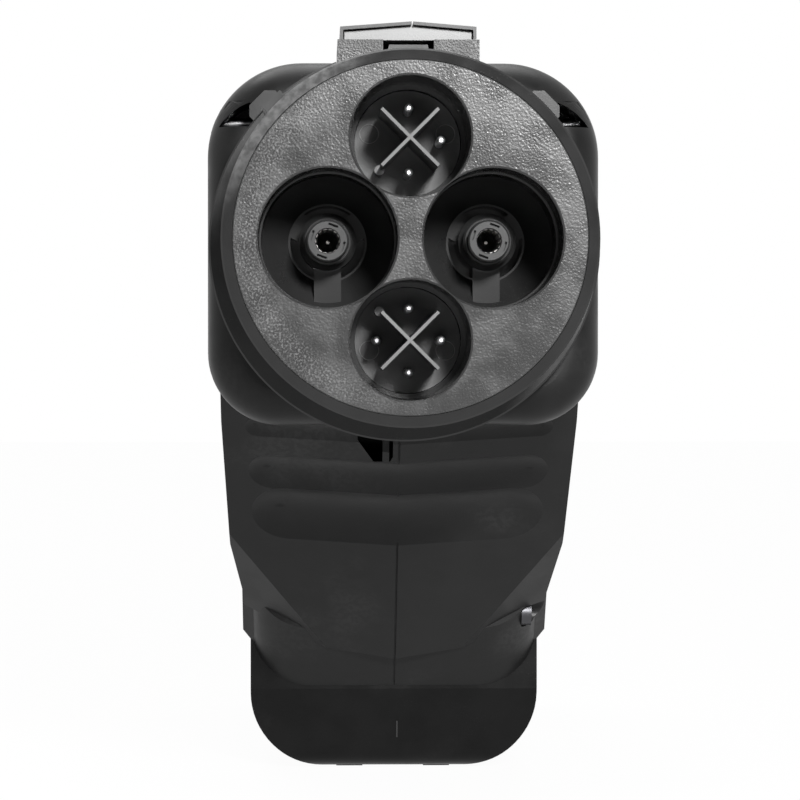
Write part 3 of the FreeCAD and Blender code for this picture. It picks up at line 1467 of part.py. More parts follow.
doc.recompute()
failed = [item.Name for item in doc.Objects if "Invalid" in item.State or "Error" in item.State]
if failed:
    raise RuntimeError(f"objects failed: {failed}")

os.makedirs("parts", exist_ok=True)
for node in NODES:
    shape = node.Shape
    if shape.isNull() or not shape.isValid() or not shape.Solids:
        raise RuntimeError(f"{node.Label} has no valid solid")
    shape.exportStep(f"parts/{node.Label}.step")
    print(f"{node.Label}: {len(shape.Solids)} solids, {shape.Volume:.0f} mm3")
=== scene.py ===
import math

import bmesh
import bpy
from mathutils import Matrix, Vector


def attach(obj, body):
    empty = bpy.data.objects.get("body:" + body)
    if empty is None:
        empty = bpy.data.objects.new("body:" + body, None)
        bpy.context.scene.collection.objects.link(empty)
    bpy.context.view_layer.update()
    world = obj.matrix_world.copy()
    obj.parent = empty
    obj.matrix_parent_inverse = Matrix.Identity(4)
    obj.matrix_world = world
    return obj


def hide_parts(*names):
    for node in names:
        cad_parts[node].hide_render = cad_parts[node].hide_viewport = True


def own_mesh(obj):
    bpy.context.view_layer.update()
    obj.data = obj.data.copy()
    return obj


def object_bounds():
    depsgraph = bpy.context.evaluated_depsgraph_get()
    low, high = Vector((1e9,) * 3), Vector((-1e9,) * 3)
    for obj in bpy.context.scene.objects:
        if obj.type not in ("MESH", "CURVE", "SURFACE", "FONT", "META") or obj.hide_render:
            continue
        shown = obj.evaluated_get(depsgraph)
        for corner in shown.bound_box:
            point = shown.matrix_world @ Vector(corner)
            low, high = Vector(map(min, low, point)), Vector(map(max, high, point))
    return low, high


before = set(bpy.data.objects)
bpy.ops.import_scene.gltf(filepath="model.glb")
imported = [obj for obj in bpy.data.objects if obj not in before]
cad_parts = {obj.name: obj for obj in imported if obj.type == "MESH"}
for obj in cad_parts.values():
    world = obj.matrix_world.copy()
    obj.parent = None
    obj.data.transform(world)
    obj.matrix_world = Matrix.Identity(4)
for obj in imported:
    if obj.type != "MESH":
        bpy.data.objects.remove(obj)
cad_low, cad_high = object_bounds()
MM = 0.001


# Plug sleeve: the round barrel with its bevelled front ring, the rear collar and the key ribs.
# It is one smooth satin moulding, and its bevel carries a painted highlight, a paler streaked band towards
# the upper left.
def input_value(tree, node, socket, value):
    """Sets a socket to a number, or links another node's output to it."""
    if isinstance(value, bpy.types.NodeSocket):
        tree.links.new(value, node.inputs[socket])
    else:
        node.inputs[socket].default_value = value


def add_node(tree, kind, **inputs):
    """A shader node with its inputs set by name or by number."""
    node = tree.nodes.new(kind)
    for socket, value in inputs.items():
        key = int(socket[1:]) if socket[0] == "_" else socket.replace("_", " ")
        input_value(tree, node, key, value)
    return node


def arithmetic(tree, operation, first, second=0.0, clamp=False):
    """One Math node; returns its output."""
    node = add_node(tree, "ShaderNodeMath", _0=first, _1=second)
    node.operation = operation
    node.use_clamp = clamp
    return node.outputs[0]


def ramp(tree, value, start, end, low=0.0, high=1.0):
    """Maps a value from start..end to low..high, smoothly and clamped."""
    node = add_node(tree, "ShaderNodeMapRange", Value=value)
    node.interpolation_type = "SMOOTHSTEP"
    for socket, number in (("From Min", start), ("From Max", end), ("To Min", low), ("To Max", high)):
        node.inputs[socket].default_value = number
    return node.outputs[0]


def product(tree, *factors, clamp=False):
    """Multiplies two or more values."""
    result = factors[0]
    for factor in factors[1:]:
        result = arithmetic(tree, "MULTIPLY", result, factor, clamp=clamp)
    return result


def blend(tree, share, first, second):
    """Mixes two colours by a share; returns the colour."""
    node = add_node(tree, "ShaderNodeMix")
    node.data_type = "RGBA"
    for socket, value in (("Factor", share), (6, first), (7, second)):
        input_value(tree, node, socket, value)
    return node.outputs[2]


def new_group(name, inputs, outputs, kind="ShaderNodeTree"):
    """An empty node group with named sockets; returns its tree, input node and output node."""
    tree = bpy.data.node_groups.new(name, kind)
    for label, socket_type, value in inputs:
        socket = tree.interface.new_socket(label, in_out="INPUT", socket_type=socket_type)
        if value is not None:
            socket.default_value = value
    for label, socket_type in outputs:
        tree.interface.new_socket(label, in_out="OUTPUT", socket_type=socket_type)
    return tree, tree.nodes.new("NodeGroupInput"), tree.nodes.new("NodeGroupOutput")


def moulded_grain_group():
    """Fine skin of a moulding: pebbles broken by a smaller noise. Both sizes are in mm."""
    tree, entry, result = new_group(
        "moulded_grain",
        [("Place", "NodeSocketVector", None), ("Size", "NodeSocketFloat", 0.4),
         ("Mottle Size", "NodeSocketFloat", 9.0)],
        [("Height", "NodeSocketFloat"), ("Mottle", "NodeSocketFloat")])
    place = entry.outputs["Place"]
    fine_scale = arithmetic(tree, "DIVIDE", 1 / MM, entry.outputs["Size"])
    broad_scale = arithmetic(tree, "DIVIDE", 1 / MM, entry.outputs["Mottle Size"])
    pebble = add_node(tree, "ShaderNodeTexVoronoi", Vector=place, Scale=fine_scale)
    pebble.feature = "SMOOTH_F1"
    noise = add_node(tree, "ShaderNodeTexNoise", Vector=place, Scale=fine_scale, Detail=3.0)
    broad = add_node(tree, "ShaderNodeTexNoise", Vector=place, Scale=broad_scale, Detail=4.0)
    height = arithmetic(tree, "ADD", pebble.outputs["Distance"], noise.outputs["Fac"])
    tree.links.new(height, result.inputs["Height"])
    tree.links.new(ramp(tree, broad.outputs["Fac"], 0.3, 0.7), result.inputs["Mottle"])
    return tree


def settled_dust_group():
    """Sparse pale specks, more of them on faces that look up."""
    tree, entry, result = new_group(
        "settled_dust",
        [("Place", "NodeSocketVector", None), ("Speck Size", "NodeSocketFloat", 0.5),
         ("Amount", "NodeSocketFloat", 0.4)],
        [("Dust", "NodeSocketFloat")])
    scale = arithmetic(tree, "DIVIDE", 1 / MM, entry.outputs["Speck Size"])
    speck = add_node(tree, "ShaderNodeTexVoronoi", Vector=entry.outputs["Place"], Scale=scale)
    patch = add_node(tree, "ShaderNodeTexNoise", Vector=entry.outputs["Place"], Scale=90.0, Detail=3.0)
    dots = ramp(tree, speck.outputs["Distance"], 0.10, 0.22, 1.0, 0.0)
    patches = ramp(tree, patch.outputs["Fac"], 0.45, 0.75)
    facing = tree.nodes.new("ShaderNodeNewGeometry").outputs["Normal"]
    normal = add_node(tree, "ShaderNodeSeparateXYZ", Vector=facing)
    upward = ramp(tree, normal.outputs["Z"], -0.2, 1.0, 0.15, 1.0)
    dust = product(tree, dots, patches, upward, entry.outputs["Amount"], clamp=True)
    tree.links.new(dust, result.inputs["Dust"])
    return tree


grain_group = moulded_grain_group()
dust_group = settled_dust_group()
DUST_COLOUR = (0.35, 0.35, 0.34, 1)
POLISH_SPREAD = 0.05


def plastic(name, colour, roughness, gloss, grain, depth, mottle=0.15, dust=0.3, wear_and_highlight=None):
    """A moulded plastic. colour is a grey or three numbers, gloss the strength of its reflection,
    grain the pebble in mm, depth its height in mm, mottle and dust are shares, and
    wear_and_highlight(tree, place) gives a mask, of rubbed places for real wear and of painted highlights for
    light, with the grey they turn."""
    material = bpy.data.materials.new(name)
    material.use_nodes = True
    tree = material.node_tree
    shader = tree.nodes["Principled BSDF"]
    rgb = (colour,) * 3 if isinstance(colour, float) else colour
    shader.inputs["Specular IOR Level"].default_value = gloss
    place = tree.nodes.new("ShaderNodeTexCoord").outputs["Object"]
    skin = add_node(tree, "ShaderNodeGroup")
    skin.node_tree = grain_group
    tree.links.new(place, skin.inputs["Place"])
    skin.inputs["Size"].default_value = grain
    low, high = [(*[c * share for c in rgb], 1) for share in (1 - mottle, 1 + mottle)]
    tone = blend(tree, skin.outputs["Mottle"], low, high)
    if wear_and_highlight:
        mask, grey = wear_and_highlight(tree, place)
        tone = blend(tree, mask, tone, (grey, grey, grey, 1))
    if dust:
        settled = add_node(tree, "ShaderNodeGroup")
        settled.node_tree = dust_group
        tree.links.new(place, settled.inputs["Place"])
        settled.inputs["Amount"].default_value = dust
        tone = blend(tree, settled.outputs["Dust"], tone, DUST_COLOUR)
    tree.links.new(tone, shader.inputs["Base Color"])
    polish = ramp(tree, skin.outputs["Mottle"], 0, 1, roughness - POLISH_SPREAD, roughness + POLISH_SPREAD)
    tree.links.new(polish, shader.inputs["Roughness"])
    bump = add_node(tree, "ShaderNodeBump", Height=skin.outputs["Height"])
    bump.inputs["Distance"].default_value = depth * MM
    tree.links.new(bump.outputs["Normal"], shader.inputs["Normal"])
    return material


def finish_nodes(material, *names):
    """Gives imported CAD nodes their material."""
    for name in names:
        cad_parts[name].data.materials.clear()
        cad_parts[name].data.materials.append(material)


# Paler grey of the painted highlight on the bevel and of the painted sparkle on the face.
PAINTED_HIGHLIGHT_GREY = 0.12


def bevel_painted_highlight(tree, place):
    """Painted highlight: a paler streaked band on the bevel, strongest at the upper left, where the light
    falls.
    """
    spread = add_node(tree, "ShaderNodeSeparateXYZ", Vector=place)
    forward = ramp(tree, spread.outputs["Y"], 3.6 * MM, 1.2 * MM)
    diagonal = arithmetic(tree, "SUBTRACT", spread.outputs["Z"], spread.outputs["X"])
    corner = ramp(tree, diagonal, 38 * MM, 48 * MM)
    highlight_noise = add_node(tree, "ShaderNodeTexNoise", Vector=place, Scale=700.0, Detail=4.0)
    highlight_streaks = ramp(tree, highlight_noise.outputs["Fac"], 0.3, 0.7, 0.4, 1.0)
    return product(tree, forward, corner, highlight_streaks), PAINTED_HIGHLIGHT_GREY


sleeve_plastic = plastic("sleeve_plastic", colour=0.01, roughness=0.36, gloss=0.35, grain=0.25, depth=0.004,
                         wear_and_highlight=bevel_painted_highlight)
finish_nodes(sleeve_plastic, "plug_sleeve")


# Contact block: the thick plastic face with the four cups.
# It is the same black plastic with a sparkling eroded grain, with painted sparkle as paler flecks towards its
# rim.
def face_painted_sparkle(tree, place):
    """Painted sparkle: paler flecks in a ring near the rim of the face, towards its left side."""
    spread = add_node(tree, "ShaderNodeSeparateXYZ", Vector=place)
    flat = add_node(tree, "ShaderNodeCombineXYZ", X=spread.outputs["X"], Z=spread.outputs["Z"])
    reach = add_node(tree, "ShaderNodeVectorMath", _0=flat.outputs[0])
    reach.operation = "LENGTH"
    rim = ramp(tree, reach.outputs["Value"], 25.5 * MM, 29.5 * MM)
    outer = ramp(tree, reach.outputs["Value"], 32.6 * MM, 30.6 * MM, 0.45, 1.0)
    side = ramp(tree, spread.outputs["X"], 6 * MM, -20 * MM)
    highlight_noise = add_node(tree, "ShaderNodeTexNoise", Vector=place, Scale=2600.0, Detail=3.0)
    sparkle_flecks = ramp(tree, highlight_noise.outputs["Fac"], 0.45, 0.7)
    front = ramp(tree, spread.outputs["Y"], 0.6 * MM, 0.1 * MM)
    return product(tree, rim, outer, side, sparkle_flecks, front), PAINTED_HIGHLIGHT_GREY


def polish_side(material, start, end, roughness):
    """Makes the piece smooth and almost free of grain behind its front, over a run along Y in mm."""
    tree = material.node_tree
    shader = tree.nodes["Principled BSDF"]
    front = shader.inputs["Roughness"].links[0].from_socket
    place = tree.nodes["Texture Coordinate"].outputs["Object"]
    spread = add_node(tree, "ShaderNodeSeparateXYZ", Vector=place)
    back = ramp(tree, spread.outputs["Y"], start * MM, end * MM)
    mixed = add_node(tree, "ShaderNodeMix", Factor=back, _2=front, _3=roughness)
    tree.links.new(mixed.outputs[0], shader.inputs["Roughness"])
    bump = tree.nodes["Bump"]
    grain = bump.inputs["Height"].links[0].from_socket
    flat = ramp(tree, spread.outputs["Y"], start * MM, end * MM, 1.0, 0.1)
    tree.links.new(arithmetic(tree, "MULTIPLY", grain, flat), bump.inputs["Height"])


face_plastic = plastic("face_plastic", colour=0.022, roughness=0.27, gloss=0.55, grain=0.4, depth=0.023,
                       mottle=0.12, dust=0.15, wear_and_highlight=face_painted_sparkle)
polish_side(face_plastic, start=0.8, end=1.6, roughness=0.2)
finish_nodes(face_plastic, "contact_block")


# Signal inserts and pins: a dark disc with its cross-shaped barrier at the bottom of each small cup,
# and seven plated pins with bright ball ends. The discs snap in and the pins are pressed through them.
def metal(name, colour, roughness, streak=0.08):
    """A bare metal whose polish changes a little along it."""
    material = bpy.data.materials.new(name)
    material.use_nodes = True
    tree = material.node_tree
    shader = tree.nodes["Principled BSDF"]
    shader.inputs["Metallic"].default_value = 1.0
    place = tree.nodes.new("ShaderNodeTexCoord").outputs["Object"]
    polish = add_node(tree, "ShaderNodeTexNoise", Vector=place, Scale=900.0, Detail=3.0)
    rough = ramp(tree, polish.outputs["Fac"], 0.3, 0.7, roughness - streak, roughness + streak)
    tree.links.new(rough, shader.inputs["Roughness"])
    dull = (*[c * 0.88 for c in colour], 1)
    bright = (*[min(1.0, c * 1.08) for c in colour], 1)
    tree.links.new(blend(tree, polish.outputs["Fac"], dull, bright), shader.inputs["Base Color"])
    return material


insert_plastic = plastic("insert_plastic", colour=0.11, roughness=0.5, gloss=0.35, grain=0.3, depth=0.01)
finish_nodes(insert_plastic, "signal_insert_top", "signal_insert_bottom")
plated = metal("pin_plating", colour=(0.86, 0.86, 0.87), roughness=0.34)
finish_nodes(plated, "signal_pins_top", "signal_pins_bottom")


# Ejector rims: the mould's push-out pins leave a thin raised rim round each of their two marks
# on either insert. They are part of the insert's moulding.
def node_box(name):
    """The lowest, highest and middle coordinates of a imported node, in mm."""
    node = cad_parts[name]
    points = [node.matrix_world @ vertex.co / MM for vertex in node.data.vertices]
    low, high = [[pick(point[axis] for point in points) for axis in range(3)] for pick in (min, max)]
    return low, high, [(a + b) / 2 for a, b in zip(low, high)]


RIM = {"Rim Radius": 1.8 * MM, "Rim Thickness": 0.07 * MM}
RIM_ASIDE = 7.3
RIM_DEPTH = 26.7
RIM_ABOVE_MIDDLE = 1.9
rim_height = node_box("signal_insert_top")[2][2] + RIM_ABOVE_MIDDLE
rim_spots = [(sign_x * RIM_ASIDE, RIM_DEPTH, sign_z * rim_height) for sign_x in (-1, 1) for sign_z in (-1, 1)]


def geometry_tree(name, sizes):
    """A geometry group that takes the points to stand on, and sizes by name."""
    kinds = {int: "NodeSocketInt", float: "NodeSocketFloat"}
    inputs = [("Points", "NodeSocketGeometry", None)]
    inputs += [(label, kinds[type(value)], value) for label, value in sizes.items()]
    return new_group(name, inputs, [("Geometry", "NodeSocketGeometry")], "GeometryNodeTree")


def finish_tree(tree, geometry, material, result):
    """Ends a geometry group: the instances are made real and take their material."""
    real = add_node(tree, "GeometryNodeRealizeInstances", Geometry=geometry)
    painted = add_node(tree, "GeometryNodeSetMaterial", Geometry=real.outputs[0], Material=material)
    tree.links.new(painted.outputs[0], result.inputs["Geometry"])


def new_object(name, data):
    """An object at the origin, in the scene."""
    made = bpy.data.objects.new(name, data)
    bpy.context.scene.collection.objects.link(made)
    return made


def grown(name, tree, body, points, sizes):
    """Runs a geometry group on the points and leaves a plain mesh that rides on the body."""
    seeds = bpy.data.meshes.new(name)
    seeds.from_pydata([tuple(c * MM for c in point) for point in points], [], [])
    piece = new_object(name, seeds)
    modifier = piece.modifiers.new(name, "NODES")
    modifier.node_group = tree
    for socket in tree.interface.items_tree:
        if socket.in_out == "INPUT" and socket.name in sizes:
            modifier[socket.identifier] = sizes[socket.name]
    graph = bpy.context.evaluated_depsgraph_get()
    plain = bpy.data.meshes.new_from_object(piece.evaluated_get(graph))
    piece.modifiers.remove(modifier)
    piece.data = plain
    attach(piece, body)
    return piece


def upright(tree, x, y, z):
    """A vector from three values."""
    return add_node(tree, "ShaderNodeCombineXYZ", X=x, Y=y, Z=z).outputs[0]


QUARTER_TURN = math.pi / 2


def rim_tree(name, material):
    """A thin ring round the Y axis, set on each point."""
    tree, entry, result = geometry_tree(name, RIM)
    size = entry.outputs
    path = add_node(tree, "GeometryNodeCurvePrimitiveCircle", Resolution=48, Radius=size["Rim Radius"])
    section = add_node(tree, "GeometryNodeCurvePrimitiveCircle", Resolution=8, Radius=size["Rim Thickness"])
    ring = add_node(tree, "GeometryNodeCurveToMesh", Curve=path.outputs[0], Profile_Curve=section.outputs[0])
    facing = add_node(tree, "GeometryNodeTransform", Geometry=ring.outputs[0], Rotation=(QUARTER_TURN, 0, 0))
    placed = add_node(tree, "GeometryNodeInstanceOnPoints", Points=size["Points"], Instance=facing.outputs[0])
    finish_tree(tree, placed.outputs[0], material, result)
    return tree


# The rims are paler than the insert they are moulded with: a painted highlight for the light caught by their
# thin edges.
rim_highlight_plastic = plastic("rim_highlight_plastic", colour=0.3, roughness=0.4, gloss=0.5, grain=0.3, depth=0.004)
grown("ejector_rims", rim_tree("ejector_rim", rim_highlight_plastic), "adapter", rim_spots, RIM)


# Power contacts: two thick plated tubes, each tipped with a slotted insulating ring.
# The ring keeps a finger off the live tube; both are pushed in from behind.
# The tubes' plating is darker than the pins': painted shade for the shadow they stand in, deep in their cups.
shaded_tube_plating = metal("shaded_tube_plating", colour=(0.5, 0.5, 0.51), roughness=0.4)
finish_nodes(shaded_tube_plating, "power_contact_left", "power_contact_right")
tip_plastic = plastic("tip_plastic", colour=0.025, roughness=0.5, gloss=0.4, grain=0.3, depth=0.006)
finish_nodes(tip_plastic, "contact_tip_left", "contact_tip_right")


# Contact bands: in each tube's bore a ring of sprung metal strips grips the vehicle's pin,
# and a small guide stud stands in the middle at the bottom. The strips are pressed from sheet.
BAND = {"Strips": 14, "Bore Radius": 2.24 * MM, "Waist Radius": 1.75 * MM,
        "Front": 20.6 * MM, "Back": 33.0 * MM,
        "Strip Width": 0.62 * MM, "Strip Thickness": 0.12 * MM,
        "Stud Radius": 0.28 * MM, "Stud Front": 31.0 * MM, "Stud Back": 44.2 * MM}


def contact_band_tree(material):
    """Strips bowed inwards, set in a ring along Y, and the stud between them."""
    tree, entry, result = geometry_tree("contact_band", BAND)
    size = entry.outputs
    middle = product(tree, arithmetic(tree, "ADD", size["Front"], size["Back"]), 0.5)
    bow = add_node(tree, "GeometryNodeCurveQuadraticBezier", Resolution=8,
                   Start=upright(tree, size["Bore Radius"], size["Front"], 0.0),
                   Middle=upright(tree, size["Waist Radius"], middle, 0.0),
                   End=upright(tree, size["Bore Radius"], size["Back"], 0.0))
    section = add_node(tree, "GeometryNodeCurvePrimitiveQuadrilateral",
                       Width=size["Strip Thickness"], Height=size["Strip Width"])
    strip = add_node(tree, "GeometryNodeCurveToMesh", Curve=bow.outputs[0], Profile_Curve=section.outputs[0])
    strip.inputs["Fill Caps"].default_value = True
    spots = add_node(tree, "GeometryNodeMeshLine", Count=size["Strips"], Offset=(0, 0, 0))
    step = arithmetic(tree, "DIVIDE", math.tau, size["Strips"])
    turn = product(tree, tree.nodes.new("GeometryNodeInputIndex").outputs[0], step)
    facing = add_node(tree, "FunctionNodeEulerToRotation", Euler=upright(tree, 0.0, turn, 0.0))
    ring = add_node(tree, "GeometryNodeInstanceOnPoints", Points=spots.outputs[0],
                    Instance=strip.outputs[0], Rotation=facing.outputs[0])
    reach = arithmetic(tree, "SUBTRACT", size["Stud Back"], size["Stud Front"])
    stud = add_node(tree, "GeometryNodeMeshCylinder", Vertices=16, Radius=size["Stud Radius"], Depth=reach)
    half = product(tree, arithmetic(tree, "ADD", size["Stud Front"], size["Stud Back"]), 0.5)
    laid = add_node(tree, "GeometryNodeTransform", Geometry=stud.outputs[0],
                    Translation=upright(tree, 0.0, half, 0.0), Rotation=(QUARTER_TURN, 0, 0))
    both = tree.nodes.new("GeometryNodeJoinGeometry")
    strips = add_node(tree, "GeometryNodeRealizeInstances", Geometry=ring.outputs[0])
    for part in (laid, strips):
        tree.links.new(part.outputs[0], both.inputs[0])
    set_out = add_node(tree, "GeometryNodeInstanceOnPoints", Points=size["Points"], Instance=both.outputs[0])
    finish_tree(tree, set_out.outputs[0], material, result)
    return tree


band_metal = metal("band_metal", colour=(0.62, 0.6, 0.58), roughness=0.3)
bore_spots = [(node_box(tube)[2][0], 0, 0) for tube in ("power_contact_left", "power_contact_right")]
grown("contact_bands", contact_band_tree(band_metal), "adapter", bore_spots, BAND)


# Latch: grained ears on the barrel, the thin dark hood, the dark claw on its pin and the slide
# with its thumb pad, painted pale grey as a highlight for the light on its upturned face. The slide draws the
# claw's nose out of the vehicle's catch.
ear_plastic = plastic("ear_plastic", colour=0.038, roughness=0.42, gloss=0.5, grain=0.36, depth=0.06)
finish_nodes(ear_plastic, "latch_guard")
hood_plastic = plastic("hood_plastic", colour=0.05, roughness=0.4, gloss=0.4, grain=0.25, depth=0.004)
finish_nodes(hood_plastic, "hood_left", "hood_right")
# The slide's pale grey is a painted highlight for the light on its upturned face.
slide_highlight_plastic = plastic("slide_highlight_plastic", colour=0.265, roughness=0.42, gloss=0.5, grain=0.35, depth=0.005,
                        mottle=0.04, dust=0.1)
finish_nodes(slide_highlight_plastic, "release_slider")
claw_plastic = plastic("claw_plastic", colour=0.012, roughness=0.42, gloss=0.5, grain=0.35, depth=0.005,
                       mottle=0.06, dust=0.1)
finish_nodes(claw_plastic, "latch_claw")
steel = metal("bright_steel", colour=(0.55, 0.55, 0.56), roughness=0.3)
finish_nodes(steel, "latch_pin", "claw_spring")


# Claw spring: a short coil of round steel wire that stands under the claw and pushes its nose up.
# It takes the place of the plain CAD spring, and the slide's travel presses it to about half its height.
SPRING = {"Turns": 4.0, "Coil Radius": 1.7 * MM, "Wire Radius": 0.2 * MM, "Height": 3.35 * MM}
SPRING_FOOT = (0.0, 32.0, 31.65)


def spring_tree(material):
    """A coil of round wire that stands on each point."""
    tree, entry, result = geometry_tree("coil", SPRING)
    size = entry.outputs
    path = add_node(tree, "GeometryNodeCurveSpiral", Resolution=24, Rotations=size["Turns"],
                    Height=size["Height"], Start_Radius=size["Coil Radius"], End_Radius=size["Coil Radius"])
    section = add_node(tree, "GeometryNodeCurvePrimitiveCircle", Resolution=8, Radius=size["Wire Radius"])
    wire = add_node(tree, "GeometryNodeCurveToMesh", Curve=path.outputs[0], Profile_Curve=section.outputs[0])
    wire.inputs["Fill Caps"].default_value = True
    placed = add_node(tree, "GeometryNodeInstanceOnPoints", Points=size["Points"], Instance=wire.outputs[0])
    finish_tree(tree, placed.outputs[0], material, result)
    return tree


coil = grown("claw_coil", spring_tree(steel), "adapter", [SPRING_FOOT], SPRING)
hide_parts("claw_spring")
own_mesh(coil)


# Shells: the two halves of the housing with the finger flutes and the facets over the belt.
# Fine satin plastic, held by screws from the right, with a steel strap bar across each upper corner.
HANDLING_AMOUNT = 0.35
HANDLED_GREY = 0.045


def handling_wear(tree, place):
    """Faint rubbed patches where hands and shelves touch the housing."""
    patches = add_node(tree, "ShaderNodeTexNoise", Vector=place, Scale=38.0, Detail=5.0)
    fine = add_node(tree, "ShaderNodeTexNoise", Vector=place, Scale=900.0, Detail=2.0)
    rubbed = ramp(tree, patches.outputs["Fac"], 0.52, 0.74)
    broken = ramp(tree, fine.outputs["Fac"], 0.4, 0.6, 0.4, 1.0)
    return product(tree, rubbed, broken, HANDLING_AMOUNT), HANDLED_GREY


housing = plastic("housing_plastic", colour=0.008, roughness=0.4, gloss=0.2, grain=0.32, depth=0.008,
                  mottle=0.2, dust=0.2, wear_and_highlight=handling_wear)
finish_nodes(housing, "left_shell", "right_shell")
bar_steel = metal("strap_bar_steel", colour=(0.6, 0.6, 0.61), roughness=0.4)
finish_nodes(bar_steel, "strap_bar_left", "strap_bar_right")
screw_steel = metal("blackened_steel", colour=(0.08, 0.08, 0.085), roughness=0.4)
finish_nodes(screw_steel, "shell_screws")


# Recess lips: the strap recess of each upper corner tapers outwards under a curved lip of the shell.
# The lip is part of the shell's moulding and follows the head's rounded front edge.
shell_low, shell_high, _ = node_box("right_shell")
HEAD = {"half_width": shell_high[0], "top": shell_high[2], "front": shell_low[1], "corner": 19.0,
        "rounding": 7.0}
LIP = {"top": 29.2, "back": 70.0, "steps": 5, "proud": 0.04}
LIP_EDGE = ((37.5, 22.6), (36.9, 23.8), (36.2, 24.8), (34.6, 26.4), (32.6, 27.8), (31.0, 28.5),
            (29.4, 28.9))


def lip_front(x, z):
    """The rounded front of the head at a point of its upper corner."""
    reach = math.hypot(x - HEAD["half_width"] + HEAD["corner"], z - HEAD["top"] + HEAD["corner"])
    sunk = min(HEAD["rounding"], max(0.0, HEAD["rounding"] - HEAD["corner"] + reach))
    return HEAD["front"] + HEAD["rounding"] - math.sqrt(HEAD["rounding"] ** 2 - sunk ** 2)


def finish_block(name, shape, material):
    """Turns a closed bmesh into a piece that rides on the adapter, with its faces outward."""
    bmesh.ops.recalc_face_normals(shape, faces=shape.faces)
    mesh = bpy.data.meshes.new(name)
    shape.to_mesh(mesh)
    shape.free()
    mesh.materials.append(material)
    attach(new_object(name, mesh), "adapter")


def recess_lip(name, side):
    """One lip, as a closed block between the curved edge of the recess and the head's outline."""
    centre_x, centre_z = HEAD["half_width"] - HEAD["corner"], HEAD["top"] - HEAD["corner"]
    rows = []
    for x, z in LIP_EDGE:
        angle = math.atan2(z - centre_z, x - centre_x)
        reach = min(HEAD["corner"] + LIP["proud"], (LIP["top"] - centre_z) / math.sin(angle))
        outer_x, outer_z = centre_x + reach * math.cos(angle), centre_z + reach * math.sin(angle)
        shares = [k / LIP["steps"] for k in range(LIP["steps"] + 1)]
        rows.append([(x + (outer_x - x) * share, z + (outer_z - z) * share) for share in shares])
    shape = bmesh.new()
    fronts = [[shape.verts.new((side * x * MM, lip_front(x, z) * MM, z * MM)) for x, z in row]
              for row in rows]
    backs = [[shape.verts.new((side * x * MM, LIP["back"] * MM, z * MM)) for x, z in row] for row in rows]
    for layer in (fronts, backs):
        for near, far in zip(layer, layer[1:]):
            for k in range(LIP["steps"]):
                shape.faces.new((near[k], near[k + 1], far[k + 1], far[k]))
    front_rim, back_rim = [
        [row[0] for row in layer] + layer[-1][1:] + [row[-1] for row in layer[-2::-1]] + layer[0][-2:0:-1]
        for layer in (fronts, backs)]
    for k in range(len(front_rim)):
        after = (k + 1) % len(front_rim)
        shape.faces.new((front_rim[k], front_rim[after], back_rim[after], back_rim[k]))
    finish_block(name, shape, housing)


for name, side in (("recess_lip_left", -1), ("recess_lip_right", 1)):
    recess_lip(name, side)


# Star drives: each screw's round socket is turned to a six-lobed drive by six small ridges.
# They are pressed into the heads; four screws lie in the right shell and five in the inlet plate.
# Each place is the middle of a screw's head, in mm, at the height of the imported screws.
STAR = {"Socket Radius": 1.42 * MM, "Ridge Radius": 0.36 * MM, "Ridge Length": 1.1 * MM,
        "Sink": 0.1 * MM}
SHELL_SCREWS_YZ = ((141.0, -79.5), (122.0, -40.0), (138.0, 24.0), (70.0, -22.0))
INLET_SCREWS_XZ = ((-27.0, 20.0), (27.0, 20.0), (-27.0, -68.0), (27.0, -68.0), (0.0, -108.6))
shell_heads = [(node_box("shell_screws")[1][0], y, z) for y, z in SHELL_SCREWS_YZ]
inlet_heads = [(x, node_box("inlet_screws")[1][1], z) for x, z in INLET_SCREWS_XZ]


def star_tree(name, turn, material):
    """Six ridges round a socket that opens along +Z, turned to the screw's axis and set on each head."""
    tree, entry, result = geometry_tree(name, STAR)
    size = entry.outputs
    ridge = add_node(tree, "GeometryNodeMeshCylinder", Vertices=10, Radius=size["Ridge Radius"],
                     Depth=size["Ridge Length"])
    spots = add_node(tree, "GeometryNodeMeshCircle", Vertices=6, Radius=size["Socket Radius"])
    ring = add_node(tree, "GeometryNodeInstanceOnPoints", Points=spots.outputs[0], Instance=ridge.outputs[0])
    drop = arithmetic(tree, "SUBTRACT", product(tree, size["Ridge Length"], -0.5), size["Sink"])
    sunk = add_node(tree, "GeometryNodeTransform", Geometry=ring.outputs[0],
                    Translation=upright(tree, 0.0, 0.0, drop))
    turned = add_node(tree, "GeometryNodeTransform", Geometry=sunk.outputs[0], Rotation=turn)
    placed = add_node(tree, "GeometryNodeInstanceOnPoints", Points=size["Points"], Instance=turned.outputs[0])
    finish_tree(tree, placed.outputs[0], material, result)
    return tree


star_along_x = star_tree("star_along_x", (0, QUARTER_TURN, 0), screw_steel)
grown("shell_star_drives", star_along_x, "adapter", shell_heads, STAR)


# Rear housing: the single moulding with the U-shaped bottom that the adapter stands on.
# Two soft strips are glued in grooves of its base, of the same rubber as the inlet's seal.
tail_plastic = plastic("tail_plastic", colour=0.005, roughness=0.36, gloss=0.13, grain=0.32, depth=0.008,
                       mottle=0.2, dust=0.2, wear_and_highlight=handling_wear)
finish_nodes(tail_plastic, "rear_housing")
rubber = plastic("strip_rubber", colour=0.03, roughness=0.75, gloss=0.3, grain=0.5, depth=0.01, dust=0.4)
finish_nodes(rubber, "base_strips", "inlet_seal")


